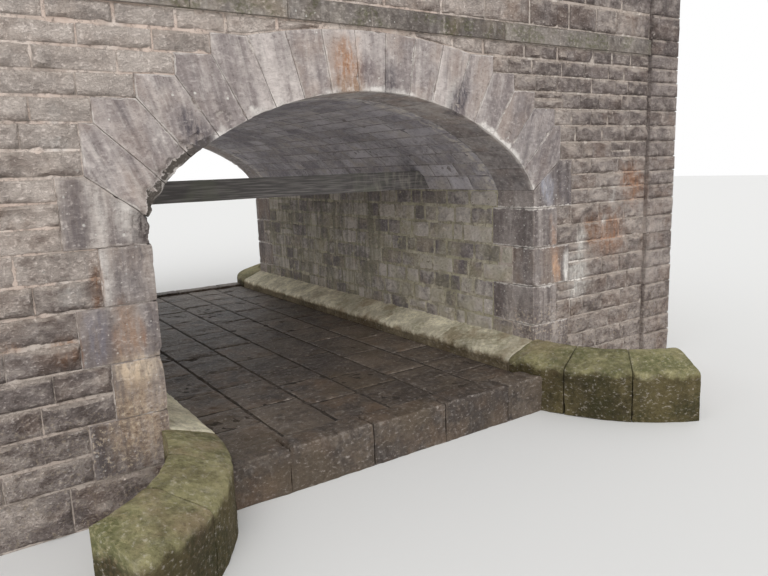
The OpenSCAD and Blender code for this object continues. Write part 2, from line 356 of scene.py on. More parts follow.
SHARP_ANGLE = math.radians(48)

# Broken arrises of the front face: x and z, reach, and how far the stone is worn back
DENT_Y = -4.13
DENTS = [
    (-2.31, 2.50, (0.13, 0.12, 0.17), (-0.004, 0.034, 0.0)),
    (-2.29, 2.38, (0.08, 0.10, 0.06), (-0.008, 0.022, 0.0)),
    (-2.25, 2.72, (0.08, 0.10, 0.11), (-0.008, 0.034, 0.004)),
    (-2.14, 2.88, (0.09, 0.10, 0.10), (-0.004, 0.036, 0.008)),
    (-2.04, 3.00, (0.07, 0.10, 0.08), (-0.006, 0.032, 0.010)),
    (-1.94, 3.11, (0.08, 0.10, 0.08), (-0.006, 0.036, 0.012)),
    (-1.82, 3.20, (0.09, 0.10, 0.07), (-0.004, 0.030, 0.012)),
    (-1.55, 3.38, (0.10, 0.08, 0.06), (-0.008, 0.022, 0.018)),
    (-2.29, 1.37, (0.06, 0.08, 0.10), (-0.020, 0.020, 0.0)),
    (1.08, 3.52, (0.10, 0.08, 0.05), (0.008, 0.020, 0.018)),
    (1.86, 3.20, (0.05, 0.06, 0.10), (0.010, 0.026, 0.012)),
    (2.29, 1.36, (0.08, 0.08, 0.07), (0.024, 0.024, 0.0)),
    (2.29, 1.84, (0.06, 0.07, 0.06), (0.018, 0.018, 0.0)),
]
DENT_SEED = 29
DENT_NEAR = 1.5
DENT_RAGGED = 0.3
FRACTURE = 0.009
SEED_RANGE = 9973


def put(name, data):
    """A new object in the scene."""
    made = bpy.data.objects.new(name, data)
    bpy.context.scene.collection.objects.link(made)
    return made


class Pile:
    """Stones gathered for one piece."""

    def __init__(self, *words):
        self.name = "_".join(words)
        self.seed = sum(ord(letter) * (k + 3) for k, letter in enumerate(self.name)) % SEED_RANGE
        self.rng = np.random.default_rng(self.seed)
        self.points, self.faces, self.count = [], [], 0
        self.values = {"tone": [], "hue": [], "edge": [], "rise": [], "grain": []}
        self.dents = DENTS if "front" in words else []

    def take(self, points, faces, **values):
        self.points.append(points)
        self.faces.extend((face + self.count).tolist() for face in faces)
        self.count += len(points)
        for key, value in values.items():
            shape = (len(points), 3) if key == "grain" else (len(points),)
            self.values[key].append(np.broadcast_to(value, shape))

    def piece(self, material, slot, *replaced):
        """Turns the stones into one mesh that rides on the frame."""
        mesh = bpy.data.meshes.new(self.name)
        mesh.from_pydata(np.concatenate(self.points).tolist(), [], self.faces)
        for key, parts in self.values.items():
            kind, field = ("FLOAT_VECTOR", "vector") if key == "grain" else ("FLOAT", "value")
            layer = mesh.attributes.new(key, kind, "POINT")
            layer.data.foreach_set(field, np.concatenate(parts).astype(np.float32).ravel())
        mesh.shade_smooth()
        mesh.set_sharp_from_angle(angle=SHARP_ANGLE)
        mesh.materials.append(MATERIALS[material])
        made = put(self.name, mesh)
        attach(made, "root")
        if replaced:
            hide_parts(*replaced)


# A pitched rock face: how many scallops, where they sit, how steep, curved and deep they are
SCALLOPS = 8
SCALLOPS_PER_METRE = 22
SCALLOP_REACH = 0.95
SCALLOP_SLOPE = 0.28
SCALLOP_CURVE = 1.8
SCALLOP_LIFT = (-0.35, 0.25)
DOME_FALL = 0.6
ROCK_LOW, ROCK_HIGH = 0.15, 1.6
ROCK_RIM = 0.03


def pitched(grid, height, rng):
    """Rock face: a low dome cut by shallow scallops, as a pitching tool leaves it."""
    low, high = grid.min((0, 1)), grid.max((0, 1))
    middle, half = (low + high) / 2, (high - low) / 2
    cuts = SCALLOPS + int(round(SCALLOPS_PER_METRE * (half[0] + half[1])))
    seats = rng.uniform(-SCALLOP_REACH, SCALLOP_REACH, (cuts, 2))
    dome = height * (1 - DOME_FALL * seats[:, 0] ** 4) * (1 - DOME_FALL * seats[:, 1] ** 4)
    slopes = rng.normal(0, SCALLOP_SLOPE, (cuts, 2)) - seats ** 3 * SCALLOP_SLOPE
    lift = dome + rng.uniform(*SCALLOP_LIFT, cuts) * height
    away = grid[:, :, None, :] - (middle + seats * half)
    cut = lift + (away * slopes).sum(-1) + SCALLOP_CURVE * (away ** 2).sum(-1)
    return np.clip(cut.min(-1), ROCK_LOW * height, ROCK_HIGH * height)


def unit(steps):
    return steps / np.maximum(np.linalg.norm(steps, axis=1, keepdims=True), 1e-9)


def inward_of(outline):
    """Unit vectors into a closed outline that runs anticlockwise."""
    step = unit(np.roll(outline, -1, 0) - outline)
    mean = unit(step + np.roll(step, 1, 0))
    return np.stack([-mean[:, 1], mean[:, 0]], -1)


def patch(hoop, s, t):
    """Grid of points inside a closed outline that has the shares s and t along its sides."""
    n, m = len(s), len(t)
    low, far, high = hoop[:n], hoop[n - 1:n + m - 1], hoop[n + m - 2:2 * n + m - 2][::-1]
    near = np.concatenate([hoop[2 * n + m - 3:], hoop[:1]])[::-1]
    across, up = s[:, None, None], t[None, :, None]
    sides = (1 - up) * low[:, None] + up * high[:, None] + (1 - across) * near[None] + across * far[None]
    near_corners = (1 - across) * ((1 - up) * low[0] + up * high[0])
    far_corners = across * ((1 - up) * low[-1] + up * high[-1])
    return sides - near_corners - far_corners


# Size of the lumps and offset of the seed of each kind of wear
CHIPS = (0.09, 11)
WANDER = (0.11, 31)
WEAR = (0.12, 5)
ROUGH = (0.06, 17)
WAVE = (0.35, 23)
CHIP_START = 0.35
CHIP_REACH = 0.05
GRAIN_SHIFT = 40
GRAIN_DEPTH = 9


def block(pile, place, lines, depth, work, out=0.0, depths=None, spacing=None, turn=0.0):
    """A closed stone. Its face is the patch inside four lines: bottom and top run from left
    to right, left and right from bottom to top. A top of three points has a corner in the
    middle. The stone goes depth back from the face, with rings of points at depths, or spacing
    apart where its sides show, and its bedding leans by turn from upright."""
    rng = pile.rng
    bottom, top, left, right = (np.asarray(line, float) for line in lines)
    corner = run(top[:2]) / run(top) if len(top) == 3 else None
    s = spread(max(run(bottom), run(top)), work.step, work.arris, corner)
    t = spread(max(run(left), run(right)), work.step, work.arris)
    outline = np.concatenate([along(bottom, s)[:-1], along(right, t)[:-1],
                              along(top, s)[:0:-1], along(left, t)[:0:-1]])
    inward = inward_of(outline)
    if spacing:
        even = np.linspace(work.arris * 4, depth, max(2, round(depth / spacing)))
        depths = [work.arris * 1.4, *even]
    depths = np.array(depths or [work.arris * 1.5, depth])
    rings = len(depths)

    def worn(rest, wear, octaves=1):
        return noise(rest, wear[0], pile.seed + wear[1], octaves)

    def resting(plan, back):
        """Where points lie before their wear, drawn out as the noise is to be."""
        return place(np.column_stack([plan, -back])) * work.stretch

    def chipped(rest, shelter):
        lumps = np.clip(worn(rest, CHIPS, 2) - CHIP_START, 0, 1)
        return lumps * work.chip * (1 - smooth(0, CHIP_REACH, shelter))

    def drawn_in(back):
        """The outline at a depth, where its arris wanders or is chipped."""
        rest = resting(outline, np.full(len(outline), back))
        wander = work.wander * (0.5 + 0.6 * worn(rest, WANDER))
        return outline + inward * (wander + chipped(rest, back))[:, None]

    # Points of the face, then of the rings behind its outline
    grid = patch(drawn_in(0.0), s, t)
    width = (1 - t) * run(bottom) + t * run(top)
    height = (1 - s) * run(left) + s * run(right)
    rise = t[None] * height[:, None]
    aside = np.minimum(s, 1 - s)[:, None] * width[None]
    edge = np.minimum(aside, np.minimum(rise, height[:, None] - rise))
    face_size = edge.size
    index = np.arange(face_size).reshape(edge.shape)
    loop = np.concatenate([index[:-1, 0], index[-1, :-1], index[:0:-1, -1], index[0, :0:-1]])
    plan = np.concatenate([grid.reshape(-1, 2)] + [drawn_in(back) for back in depths])
    back = np.concatenate([np.zeros(face_size), np.repeat(depths, len(loop))])
    away = np.zeros_like(plan)
    away[loop] = inward
    away[face_size:] = np.tile(inward, (rings, 1))
    edge = np.concatenate([edge.ravel(), np.zeros(rings * len(loop))])
    rise = np.concatenate([rise.ravel(), np.tile(rise.ravel()[loop], rings)])
    on_face = np.arange(len(plan)) < face_size

    # Relief of the face and wear of the arrises
    rest = resting(plan, back)
    radius = work.arris * (1 + 0.5 * worn(rest, WEAR))

    def fallen(near):
        """How far a rounded arris falls away at a distance from it."""
        return radius * (1 - radius / np.hypot(np.maximum(radius - near, 0), radius))

    shape = work.rough * worn(rest, ROUGH, 3) + work.wave * worn(rest, WAVE)
    lift = out + rng.uniform(-0.5, 0.5) * work.wave
    if work.pillow:
        rock = pitched(grid, work.pillow, rng).ravel() * smooth(-0.004, ROCK_RIM, edge[:face_size])
        shape[:face_size] = shape[:face_size] * smooth(0, ROCK_RIM, edge[:face_size]) + rock
    side_shape = shape * smooth(0, 0.02, back) * (work.pillow == 0)
    inset = np.where(on_face & (edge > 0), 0, fallen(back)) - np.where(on_face, 0, side_shape)
    outward = np.where(on_face, lift - fallen(edge) - chipped(rest, edge + back) + shape, -back)
    points = place(np.column_stack([plan + away * inset[:, None], outward]))
    for x, z, reach, push in pile.dents:
        distance = np.linalg.norm((points - (x, DENT_Y, z)) / reach, axis=1)
        if distance.min() < DENT_NEAR:
            distance = distance + DENT_RAGGED * noise(points, 0.06, DENT_SEED, 2)
            broken = noise(points, 0.05, DENT_SEED + 1, 2)[:, None] * FRACTURE * np.sign(push)
            points = points + smooth(1.0, 0.5, distance)[:, None] * (np.array(push) + broken)

    # The face's grid, the strips behind it and one closing face
    quads = [np.stack([index[:-1, :-1], index[1:, :-1], index[1:, 1:], index[:-1, 1:]], -1).reshape(-1, 4)]
    hoops = [loop] + [face_size + len(loop) * k + np.arange(len(loop)) for k in range(rings)]
    for front, rear in pairwise(hoops):
        quads.append(np.stack([np.roll(front, -1), front, rear, np.roll(rear, -1)], -1))
    faces = list(np.concatenate(quads)) + [hoops[-1][::-1]]
    if place.flip:
        faces = [face[::-1] for face in faces]
    lean = np.array([[math.cos(turn), math.sin(turn)], [-math.sin(turn), math.cos(turn)]])
    bedding = (plan - plan.mean(0)) @ lean + rng.uniform(-GRAIN_SHIFT, GRAIN_SHIFT, 2)
    pile.take(points, faces, tone=rng.uniform(), hue=rng.uniform(), rise=rise,
              grain=np.column_stack([bedding, back + rng.uniform(0, GRAIN_DEPTH)]),
              edge=np.minimum((edge + back) / EDGE_BAND, 1))


BOND_TRIES = 12


def bond(start, end, shortest, longest, above, rng):
    """Joints of one course from start to end, kept clear of the joints in the course before."""
    best, best_gap = None, -1
    for _ in range(BOND_TRIES):
        joints = [start]
        while end - joints[-1] > longest:
            joints.append(joints[-1] + rng.uniform(shortest, longest))
        if len(joints) > 1 and end - joints[-1] < shortest:
            joints[-1] = (joints[-2] + end) / 2
        gap = min((abs(a - b) for a in joints[1:] for b in above), default=1)
        if gap > best_gap:
            best, best_gap = joints + [end], gap
    return best


def courses(pile, place, levels, ends, lengths, work, gaps=(0.010, 0.014), out=STONE_OUT, split=0.0):
    """Courses of stones between levels. ends is where a course starts and stops, or works that
    out from its levels. gaps are those of upright and level joints, and split is the share of
    places that two thin stones fill. Gives back where the last upright joints are."""
    above = []
    upright, level = gaps[0] / 2, gaps[1] / 2
    for z0, z1 in pairwise(levels):
        start, end = ends(z0, z1) if callable(ends) else ends
        joints = bond(start, end, *lengths, above, pile.rng)
        above = joints[1:-1]
        for x0, x1 in pairwise(joints):
            middle = [pile.rng.uniform(0.4, 0.6) * (z1 - z0) + z0] if pile.rng.uniform() < split else []
            for low, high in pairwise([z0] + middle + [z1]):
                slack = level + pile.rng.uniform(0, BED_SLACK, 2)
                lines = rectangle(x0 + upright, low + slack[0], x1 - upright, high - slack[1])
                block(pile, place, lines, STONE_DEPTH, work, out=out)
    return above


# Materials, with colours as seen on a screen, 0 to 255
RELIEF_SIZE = 0.045
NOISE_SHIFT = (3.7, 1.9, 5.3)
CELL_SHIFT = (2.3, 4.1, 1.7)
STONE_GLOSS = 0.3


def linear(colour):
    """The renderer's own numbers for a colour on a screen, by the upper part of its curve."""
    return tuple(((c / 255 + 0.055) / 1.055) ** 2.4 for c in colour) + (1.0,)


def add_node(tree, kind, inputs, **settings):
    """A new node, with its inputs linked to sockets or set to values."""
    made = tree.nodes.new("ShaderNode" + kind)
    for key, value in settings.items():
        setattr(made, key, value)
    for key, value in inputs.items():
        if isinstance(value, bpy.types.NodeSocket):
            tree.links.new(value, made.inputs[key])
        else:
            made.inputs[key].default_value = value
    return made


class Field:
    """What varies over a surface: one output of a node, with the sums that are done on it."""

    def __init__(self, paint, socket):
        self.paint, self.socket = paint, socket

    def twin(self, name):
        """Another output of the same node."""
        return Field(self.paint, self.socket.node.outputs[name])

    def calc(self, operation, b=0.0, c=0.0):
        return self.paint.out("Math", {0: self, 1: b, 2: c}, operation=operation)

    def scaled(self, by, plus):
        return self.calc("MULTIPLY_ADD", by, plus)

    def band(self, low, high):
        """0 at low and 1 at high, eased between them and level beyond."""
        return self.paint.out("MapRange", {"Value": self, "From Min": low, "From Max": high},
                              interpolation_type="SMOOTHSTEP")

    def __mul__(self, other):
        return self.calc("MULTIPLY", other)

    def __sub__(self, other):
        return self.calc("SUBTRACT", other)

    def __rsub__(self, other):
        return self.paint.out("Math", {0: other, 1: self, 2: 0.0}, operation="SUBTRACT")

    def __abs__(self):
        return self.calc("ABSOLUTE")


class Paint:
    """The nodes of one material, with short calls for what weathered stone needs."""

    def __init__(self, name, colour, roughness=0.9):
        self.material = bpy.data.materials.new(name)
        self.material.use_nodes = True
        self.tree = self.material.node_tree
        self.shader = self.tree.nodes["Principled BSDF"]
        self.shader.inputs["Roughness"].default_value = roughness
        self.shader.inputs["Specular IOR Level"].default_value = STONE_GLOSS
        self.world = self.out("TexCoord", output="Object")
        self.grain = self.out("Attribute", output="Vector", attribute_name="grain")
        self.colour = linear(colour)

    def out(self, kind, inputs=None, output=0, **settings):
        """Adds a node and gives one of its outputs."""
        sockets = {key: getattr(value, "socket", value) for key, value in (inputs or {}).items()}
        return Field(self, add_node(self.tree, kind, sockets, **settings).outputs[output])

    def value(self, name):
        return self.out("Attribute", output="Fac", attribute_name=name)

    def axis(self, name):
        return self.out("SeparateXYZ", {0: self.world}, name)

    def moved(self, seed, shift, **inputs):
        """Places moved apart by a seed."""
        start = tuple(seed * part for part in shift)
        return self.out("Mapping", {"Vector": self.world, "Location": start, **inputs})

    def noise(self, size, detail=5, seed=0, rough=0.55, stretch=(1, 1, 1), space=None):
        """Cloudy noise about 0.5, with lumps about size across."""
        place = self.moved(seed, NOISE_SHIFT, Vector=space or self.world, Scale=stretch)
        return self.out("TexNoise", {"Vector": place, "Scale": 1 / size, "Detail": detail,
                                     "Roughness": rough})

    def cells(self, size, seed=0, warp=0.0):
        """Distance to scattered points, in units of size; warp bends the cells by that much."""
        place = self.moved(seed, CELL_SHIFT)
        if warp:
            bend = self.out("TexNoise", {"Vector": place, "Scale": 1 / size, "Detail": 3}, "Color")
            place = self.out("VectorMath", {0: bend, 1: (warp,) * 3, 2: place}, operation="MULTIPLY_ADD")
        return self.out("TexVoronoi", {"Vector": place, "Scale": 1 / size}, "Distance")

    def lay(self, share, colour, blend="MIX"):
        """Lays a colour over what is there, as far as share says."""
        self.colour = self.out("Mix", {0: share, 6: self.colour, 7: linear(colour)}, 2,
                               data_type="RGBA", blend_type=blend)

    def clouds(self, colour, share, low, high, size, detail=5, within=None, **more):
        """Lays a colour where noise goes from low to high, within a field if one is given."""
        cover = self.noise(size, detail, **more).band(low, high)
        if within:
            cover = cover * within
        self.lay(cover * share, colour)

    def spots(self, size, radius, share, colour, seed=0):
        """Scattered spots of uneven size, radius at most, about one to a cell of that size."""
        away = self.cells(size, seed)
        lot = self.out("SeparateColor", {0: away.twin("Color")})
        grown = radius / size
        rim = self.noise(radius, 2, seed).scaled(grown, away) - lot.band(0.3, 1.0) * grown
        self.lay(rim.band(0.6 * grown, 0.4 * grown) * share, colour)

    def close(self, height, distance):
        """Joins the colour and a bump of that height to the shader."""
        bump = self.out("Bump", {"Height": height, "Distance": distance, "Strength": 1.0})
        for name, field in (("Normal", bump), ("Base Color", self.colour)):
            self.tree.links.new(field.socket, self.shader.inputs[name])
        return self.material


IRON = (168, 128, 100)
BRIGHT_IRON = (214, 170, 136)
RUST = (146, 104, 72)
RUSTY = (184, 140, 112)
DAMP = (92, 86, 90)
# colour of the painted shade inside the broken toe's dent
DENT_SHADE = (78, 70, 68)
MOSS = (96, 98, 62)
LICHEN = (224, 221, 214)
ARRIS_LIME = (234, 228, 222)
PALE_LIME = (216, 209, 203)
LIME_RUN = (250, 245, 238)
FACE_PUTTY = (200, 187, 176)
PASSAGE_PUTTY = (184, 176, 158)
TONE_SPREAD = 0.24


def weathered(name, light, dark, warm, runs, smear=0.0, putty=None, lichen=0.0, varied=0.25, streaked=0.0):
    """Stone with clouds and mottling, its own tone, streaks and run marks along its bedding,
    worn arrises, mortar over its edges and lichen."""
    paint = Paint(name, dark)
    edge, grain = paint.value("edge"), paint.grain
    mottle = paint.noise(0.07, seed=2, rough=0.65)
    streak = paint.noise(0.12, seed=31, rough=0.6, stretch=(1, 0.08, 0.3), space=grain)
    parts = [(paint.noise(0.45, seed=1, rough=0.6), 1 - streaked), (mottle, 0.8 - 0.5 * streaked),
             (streak, 1.5 * streaked), (paint.value("tone"), varied)]
    shade, middle = 0.0, sum(weight for part, weight in parts) / 2
    for part, weight in parts:
        shade = part.scaled(weight, shade)
    paint.lay(shade.band(middle - TONE_SPREAD, middle + TONE_SPREAD), light)
    paint.clouds(warm, 0.65, 0.42, 0.66, 0.30, 4, paint.value("hue").band(0.1, 0.9), seed=3,
                 stretch=(1, 1 - 0.7 * streaked, 1), space=grain)
    paint.clouds((206, 198, 192), runs, 0.50, 0.70, 0.06, seed=4, rough=0.65,
                 stretch=(1, 0.12, 0.5), space=grain)
    paint.clouds((94, 87, 89), runs, 0.50, 0.72, 0.11, seed=5, rough=0.65,
                 stretch=(1, 0.14, 0.5), space=grain)
    paint.lay(edge.band(0.55, 0.0) * mottle.band(0.45, 0.62) * 0.20, (196, 187, 178))
    if smear:
        rim = paint.noise(0.12, 4, seed=25).scaled(-0.9, edge)
        paint.lay(rim.band(-0.14, -0.30) * smear, putty)
    if lichen:
        paint.spots(0.10, 0.012, lichen, LICHEN, seed=6)
    return paint


def rough_height(paint, pits=0.3, scoops=0.0, pale=0.30, size=RELIEF_SIZE):
    """Bump height of stone: coarse and fine grain, small pits, and scoops left by the chisel.
    The heights get a painted highlight and the hollows painted shade."""
    coarse = paint.noise(size, seed=7, rough=0.7, stretch=(1, 1, 1.5))
    # painted highlight on the coarse grain's heights, and painted shade in its hollows
    paint.lay(coarse.band(0.54, 0.70) * pale, (224, 215, 208))
    paint.lay(coarse.band(0.46, 0.30) * 0.55, (150, 142, 140), "MULTIPLY")
    pitted = paint.cells(0.024, seed=2).band(0.0, 0.40) * coarse.band(0.35, 0.6)
    height = pitted.scaled(pits, paint.noise(0.006, 3, seed=8).scaled(0.25, coarse))
    if scoops:
        height = paint.cells(0.10, seed=3, warp=0.06).scaled(scoops, height)
    return height


def stain(paint, x, z, radius, share, colour, tall=1.0, lean=0.0):
    """A ragged, soft patch on the front face, stretched along a line that leans from upright."""
    own = paint.out("Mapping", {"Vector": paint.world, "Location": (x, -WALL_Y, z), "Rotation": (0, lean, 0),
                                "Scale": (1, 1, tall)}, vector_type="TEXTURE")
    away = paint.out("VectorMath", {0: own}, "Value", operation="LENGTH")
    ragged = paint.noise(0.10, 6, seed=9, rough=0.65, stretch=(1, 1, 0.5)).scaled(1.4 * radius, away)
    streak = paint.noise(0.04, seed=30, rough=0.7, stretch=(1, 1, 0.25)).band(0.40, 0.60)
    paint.lay(ragged.band(2.1 * radius, radius) * streak.scaled(0.6 * share, 0.4 * share), colour)


def passage_painted_shade(paint, share, colour):
    """Painted shade: dulls and cools what faces the passage, everything more than a few centimetres behind
    the faces.
    """
    behind = abs(paint.axis("Y")).band(WALL_Y - 0.01, WALL_Y - 0.10)
    inside = abs(paint.axis("X")).band(HALF_SPAN + 0.02, HALF_SPAN + 0.01)
    paint.lay(behind * inside * share, colour, "MULTIPLY")


def painted_shade_and_dark_foot(paint, share):
    """Painted shade over the right-hand side, deeper higher up, and the left-hand walls darker towards their
    foot.
    """
    height, across = paint.axis("Z"), paint.axis("X")
    low = height.band(2.6, 1.1) * across.band(1.0, -1.0)
    side = across.band(0.4, 3.0) * height.band(2.0, 4.0).scaled(0.35, 0.62)
    patchy = paint.noise(1.3, 3, seed=26).band(0.25, 0.50)
    paint.lay(low.calc("MAXIMUM", side) * patchy * share, (168, 166, 169), "MULTIPLY")


def rock_face_painted_light(paint):
    """Lumps a hand's breadth across, with painted light from above: upward slopes paler and downward slopes
    in painted shade, painted highlights on the lumps and painted shade between them, and a painted highlight
    over all of them high up on the left-hand side."""
    lumps = paint.noise(0.10, 4, seed=46, rough=0.6, stretch=(0.7, 1, 1.2))
    upward = paint.out("SeparateXYZ", {0: paint.out("NewGeometry", output="Normal")}, "Z")
    # painted light: slopes facing up are paler and slopes facing down darker, as if lit from above
    paint.lay(upward.band(0.04, 0.40) * 0.55, (228, 212, 199))
    paint.lay(upward.band(-0.04, -0.45) * 0.50, (158, 146, 142), "MULTIPLY")
    paint.lay(lumps.band(0.52, 0.66) * 0.35, (232, 217, 206))
    paint.lay(lumps.band(0.48, 0.34) * 0.50, (158, 146, 142), "MULTIPLY")
    paint.lay(paint.axis("Z").band(2.4, 3.8) * paint.axis("X").band(-0.5, -2.5) * 0.32, (250, 238, 229))
    return lumps


def crumbled(paint, share):
    """Breaks the surface near the ground into pale and dark crumbs."""
    level = paint.noise(0.30, 4, seed=41).scaled(0.6, paint.axis("Z"))
    crumbs = paint.noise(0.035, 4, seed=42, rough=0.7)
    low = level.band(1.60, 1.20) * share
    paint.lay(crumbs.band(0.53, 0.64) * low, (206, 188, 164))
    paint.lay(crumbs.band(0.47, 0.36) * low, (98, 80, 70))


def leached_beds(paint, share):
    """White lime along the quoins' level joints on the right-hand side."""
    height = paint.axis("Z")
    away = (height - FOUNDATION_Z).calc("PINGPONG", QUOIN_H / 2)
    away = paint.noise(0.07, seed=45, rough=0.7).scaled(-0.10, away)
    held = paint.axis("X").band(1.0, 1.5) * height.band(BED_Z + 0.12, BED_Z + 0.06)
    paint.lay(away.band(-0.028, -0.042) * held * share, PALE_LIME)


def damp_run(paint, share):
    """Dark green runs down the inner part of the passage walls."""
    inner = abs(paint.axis("Y") - 1.2).band(3.2, 1.4)
    paint.clouds((112, 110, 96), share, 0.44, 0.60, 0.09, within=inner, seed=43, rough=0.6,
                 stretch=(1, 1, 0.10))


def fan_lean(x, z):
    return math.atan2(x, z - FAN_Z)


# Stains of the front face: place, radius, share, colour, and how tall and leaning they are
RING_STAINS = [
    (-0.28, 3.90, 0.17, 1.00, IRON, 1.6),
    (-0.25, 3.70, 0.20, 1.00, (156, 128, 106), 0.6),
    (-0.04, 3.84, 0.11, 0.90, (118, 106, 106), 1.9),
    (-1.82, 3.27, 0.13, 1.00, DAMP, 1.8, fan_lean(-1.76, 3.34)),
    (0.20, 3.76, 0.10, 0.85, DAMP, 2.0, fan_lean(0.20, 3.76)),
    (1.00, 3.60, 0.07, 1.00, PALE_LIME, 3.6, fan_lean(1.00, 3.60)),
    (1.15, 3.60, 0.16, 1.00, DAMP, 1.9, fan_lean(1.15, 3.60)),
    (2.30, 3.20, 0.42, 0.40, DAMP, 1.2),
]
DRESSED_STAINS = [
    (2.66, 1.90, 0.080, 0.50, IRON, 4.0, -0.16),
    (2.69, 1.56, 0.070, 1.00, BRIGHT_IRON, 3.0, -0.2),
    (2.88, 1.54, 0.06, 0.90, LIME_RUN, 4.0),
    (2.52, 2.62, 0.13, 0.60, (184, 186, 198), 2.0, -0.3),
    (2.82, 2.62, 0.14, 0.65, DAMP, 2.4, -0.3),
    (-2.88, 2.60, 0.16, 0.45, DAMP, 2.0),
    (-2.67, 2.64, 0.05, 0.55, PALE_LIME, 5.0),
    (-2.44, 2.62, 0.12, 0.85, PALE_LIME, 2.0),
    # painted shade inside the broken toe's dent
    (-2.31, 2.50, 0.15, 1.00, DENT_SHADE, 1.6),
    (-2.69, 2.12, 0.06, 0.90, PALE_LIME, 5.0),
    (-2.48, 2.12, 0.20, 0.45, DAMP, 1.6),
    (-2.735, 2.06, 0.035, 0.90, RUST, 6.0),
    (-2.80, 1.62, 0.12, 0.75, (126, 122, 130), 2.4),
    (-2.55, 1.60, 0.14, 0.75, (158, 128, 106), 2.2),
    (-2.43, 1.60, 0.03, 0.90, IRON, 5.0),
    (-2.34, 1.62, 0.10, 0.70, DAMP, 3.0),
    (-2.94, 1.52, 0.03, 0.90, RUST, 5.0),
    (-2.50, 1.30, 0.24, 1.00, (228, 208, 184), 0.5),
    (-2.55, 0.90, 0.28, 0.70, (178, 154, 128), 1.6),
]
WALLING_STAINS = [
    (4.22, 2.58, 0.24, 1.00, RUSTY, 1.3, -0.6),
    (3.72, 1.94, 0.34, 1.00, RUSTY, 0.9),
    (3.34, 2.02, 0.15, 0.90, IRON, 1.3),
    (3.80, 2.37, 0.07, 0.90, PALE_LIME, 3.0),
    (3.17, 1.86, 0.10, 1.00, LIME_RUN, 2.0),
    (3.63, 2.12, 0.06, 0.80, LIME_RUN, 1.5),
    (3.10, 1.42, 0.22, 1.00, LIME_RUN, 1.5),
    (-2.92, 3.42, 0.05, 0.90, PALE_LIME, 2.2),
    (-2.95, 3.17, 0.10, 0.80, PALE_LIME, 0.6),
    (-2.97, 2.00, 0.10, 0.70, PALE_LIME, 1.3),
    (-3.85, 2.10, 0.12, 0.70, PALE_LIME, 2.0),
    (-2.76, 2.06, 0.05, 0.80, RUST, 5.0),
    (-3.05, 1.53, 0.13, 0.80, RUST, 1.0),
    (-3.45, 1.66, 0.10, 0.60, IRON, 0.6),
]


def stained(paint, stains):
    for spot in stains:
        stain(paint, *spot)


def ring_stone():
    paint = weathered("ring_stone", (206, 196, 191), (142, 132, 130), (172, 154, 143),
                      runs=0.45, lichen=0.8, varied=0.2, streaked=0.6)
    painted_shade_and_dark_foot(paint, 0.65)
    front = abs(paint.axis("Y")).band(WALL_Y - 0.04, WALL_Y)
    ragged = paint.noise(0.09, 4, seed=10)
    rise = ragged.scaled(-0.16, paint.value("rise"))
    haunch = paint.axis("X").band(-1.64, -1.74)
    lime = rise.band(-0.01, -0.06) * paint.noise(0.5, 2, seed=11).band(0.36, 0.50) * front
    paint.lay(lime * (1.0 - haunch) * 0.9, ARRIS_LIME)
    paint.lay(rise.band(-0.012, -0.022) * haunch * 0.45, PALE_LIME)
    # painted shade: a dark strip along the left haunch's arris stands in for the shaded underside of the ring
    paint.lay(rise.band(-0.022, -0.034) * haunch * 0.95, (72, 66, 60))
    seam = ragged.scaled(-0.9, paint.value("edge"))
    leached = seam.band(-0.22, -0.34) * paint.noise(0.4, 3, seed=27).band(0.40, 0.56)
    paint.lay(leached * front * 0.7, PALE_LIME)
    stained(paint, RING_STAINS)
    passage_painted_shade(paint, 0.5, (214, 220, 224))
    return paint.close(rough_height(paint), 0.010)


def dressed_stone():
    paint = weathered("dressed_stone", (198, 188, 181), (126, 116, 113), (166, 146, 130),
                      runs=0.40, smear=0.25, putty=FACE_PUTTY, lichen=0.8, varied=0.2, streaked=0.75)
    painted_shade_and_dark_foot(paint, 1.0)
    stained(paint, DRESSED_STAINS)
    leached_beds(paint, 0.85)
    paint.spots(0.05, 0.008, 0.6, (214, 207, 200), seed=44)
    crumbled(paint, 0.6)
    return paint.close(rough_height(paint), 0.010)


def capping_stone():
    """String courses and copings, darker and mossier than the stones they shelter."""
    paint = weathered("capping_stone", (172, 163, 154), (104, 96, 91), (150, 134, 114),
                      runs=0.35, smear=0.3, putty=FACE_PUTTY, lichen=0.8, varied=0.3, streaked=0.3)
    painted_shade_and_dark_foot(paint, 0.45)
    paint.clouds(MOSS, 0.55, 0.48, 0.62, 0.30, within=paint.noise(0.04, 4).band(0.4, 0.6), seed=33)
    return paint.close(rough_height(paint, pits=0.5), 0.014)


def walling_stone():
    paint = weathered("walling_stone", (246, 231, 220), (174, 160, 152), (202, 176, 158),
                      runs=0.14, smear=0.50, putty=FACE_PUTTY, lichen=0.5, varied=0.18)
    paint.clouds((182, 150, 128), 0.30, 0.57, 0.72, 0.45, 4, paint.value("hue").band(0.3, 1), seed=12)
    painted_shade_and_dark_foot(paint, 1.0)
    stained(paint, WALLING_STAINS)
    crumbled(paint, 0.5)
    lumps = rock_face_painted_light(paint)
    height = rough_height(paint, pits=0.4, scoops=0.5, pale=0.40, size=0.030)
    return paint.close(lumps.scaled(1.0, height), 0.030)


def soffit_stone():
    paint = weathered("soffit_stone", (202, 197, 202), (146, 141, 146), (180, 170, 160),
                      runs=0.10, smear=0.45, putty=(190, 184, 182))
    paint.clouds((128, 123, 130), 0.40, 0.42, 0.62, 0.9, 4, seed=13)
    behind_ring = abs(paint.axis("Y")).band(FILL_Y - 0.25, FILL_Y - 0.12)
    paint.clouds((222, 214, 202), 0.6, 0.44, 0.6, 0.10, 3, behind_ring)
    return paint.close(rough_height(paint, scoops=0.4), 0.014)


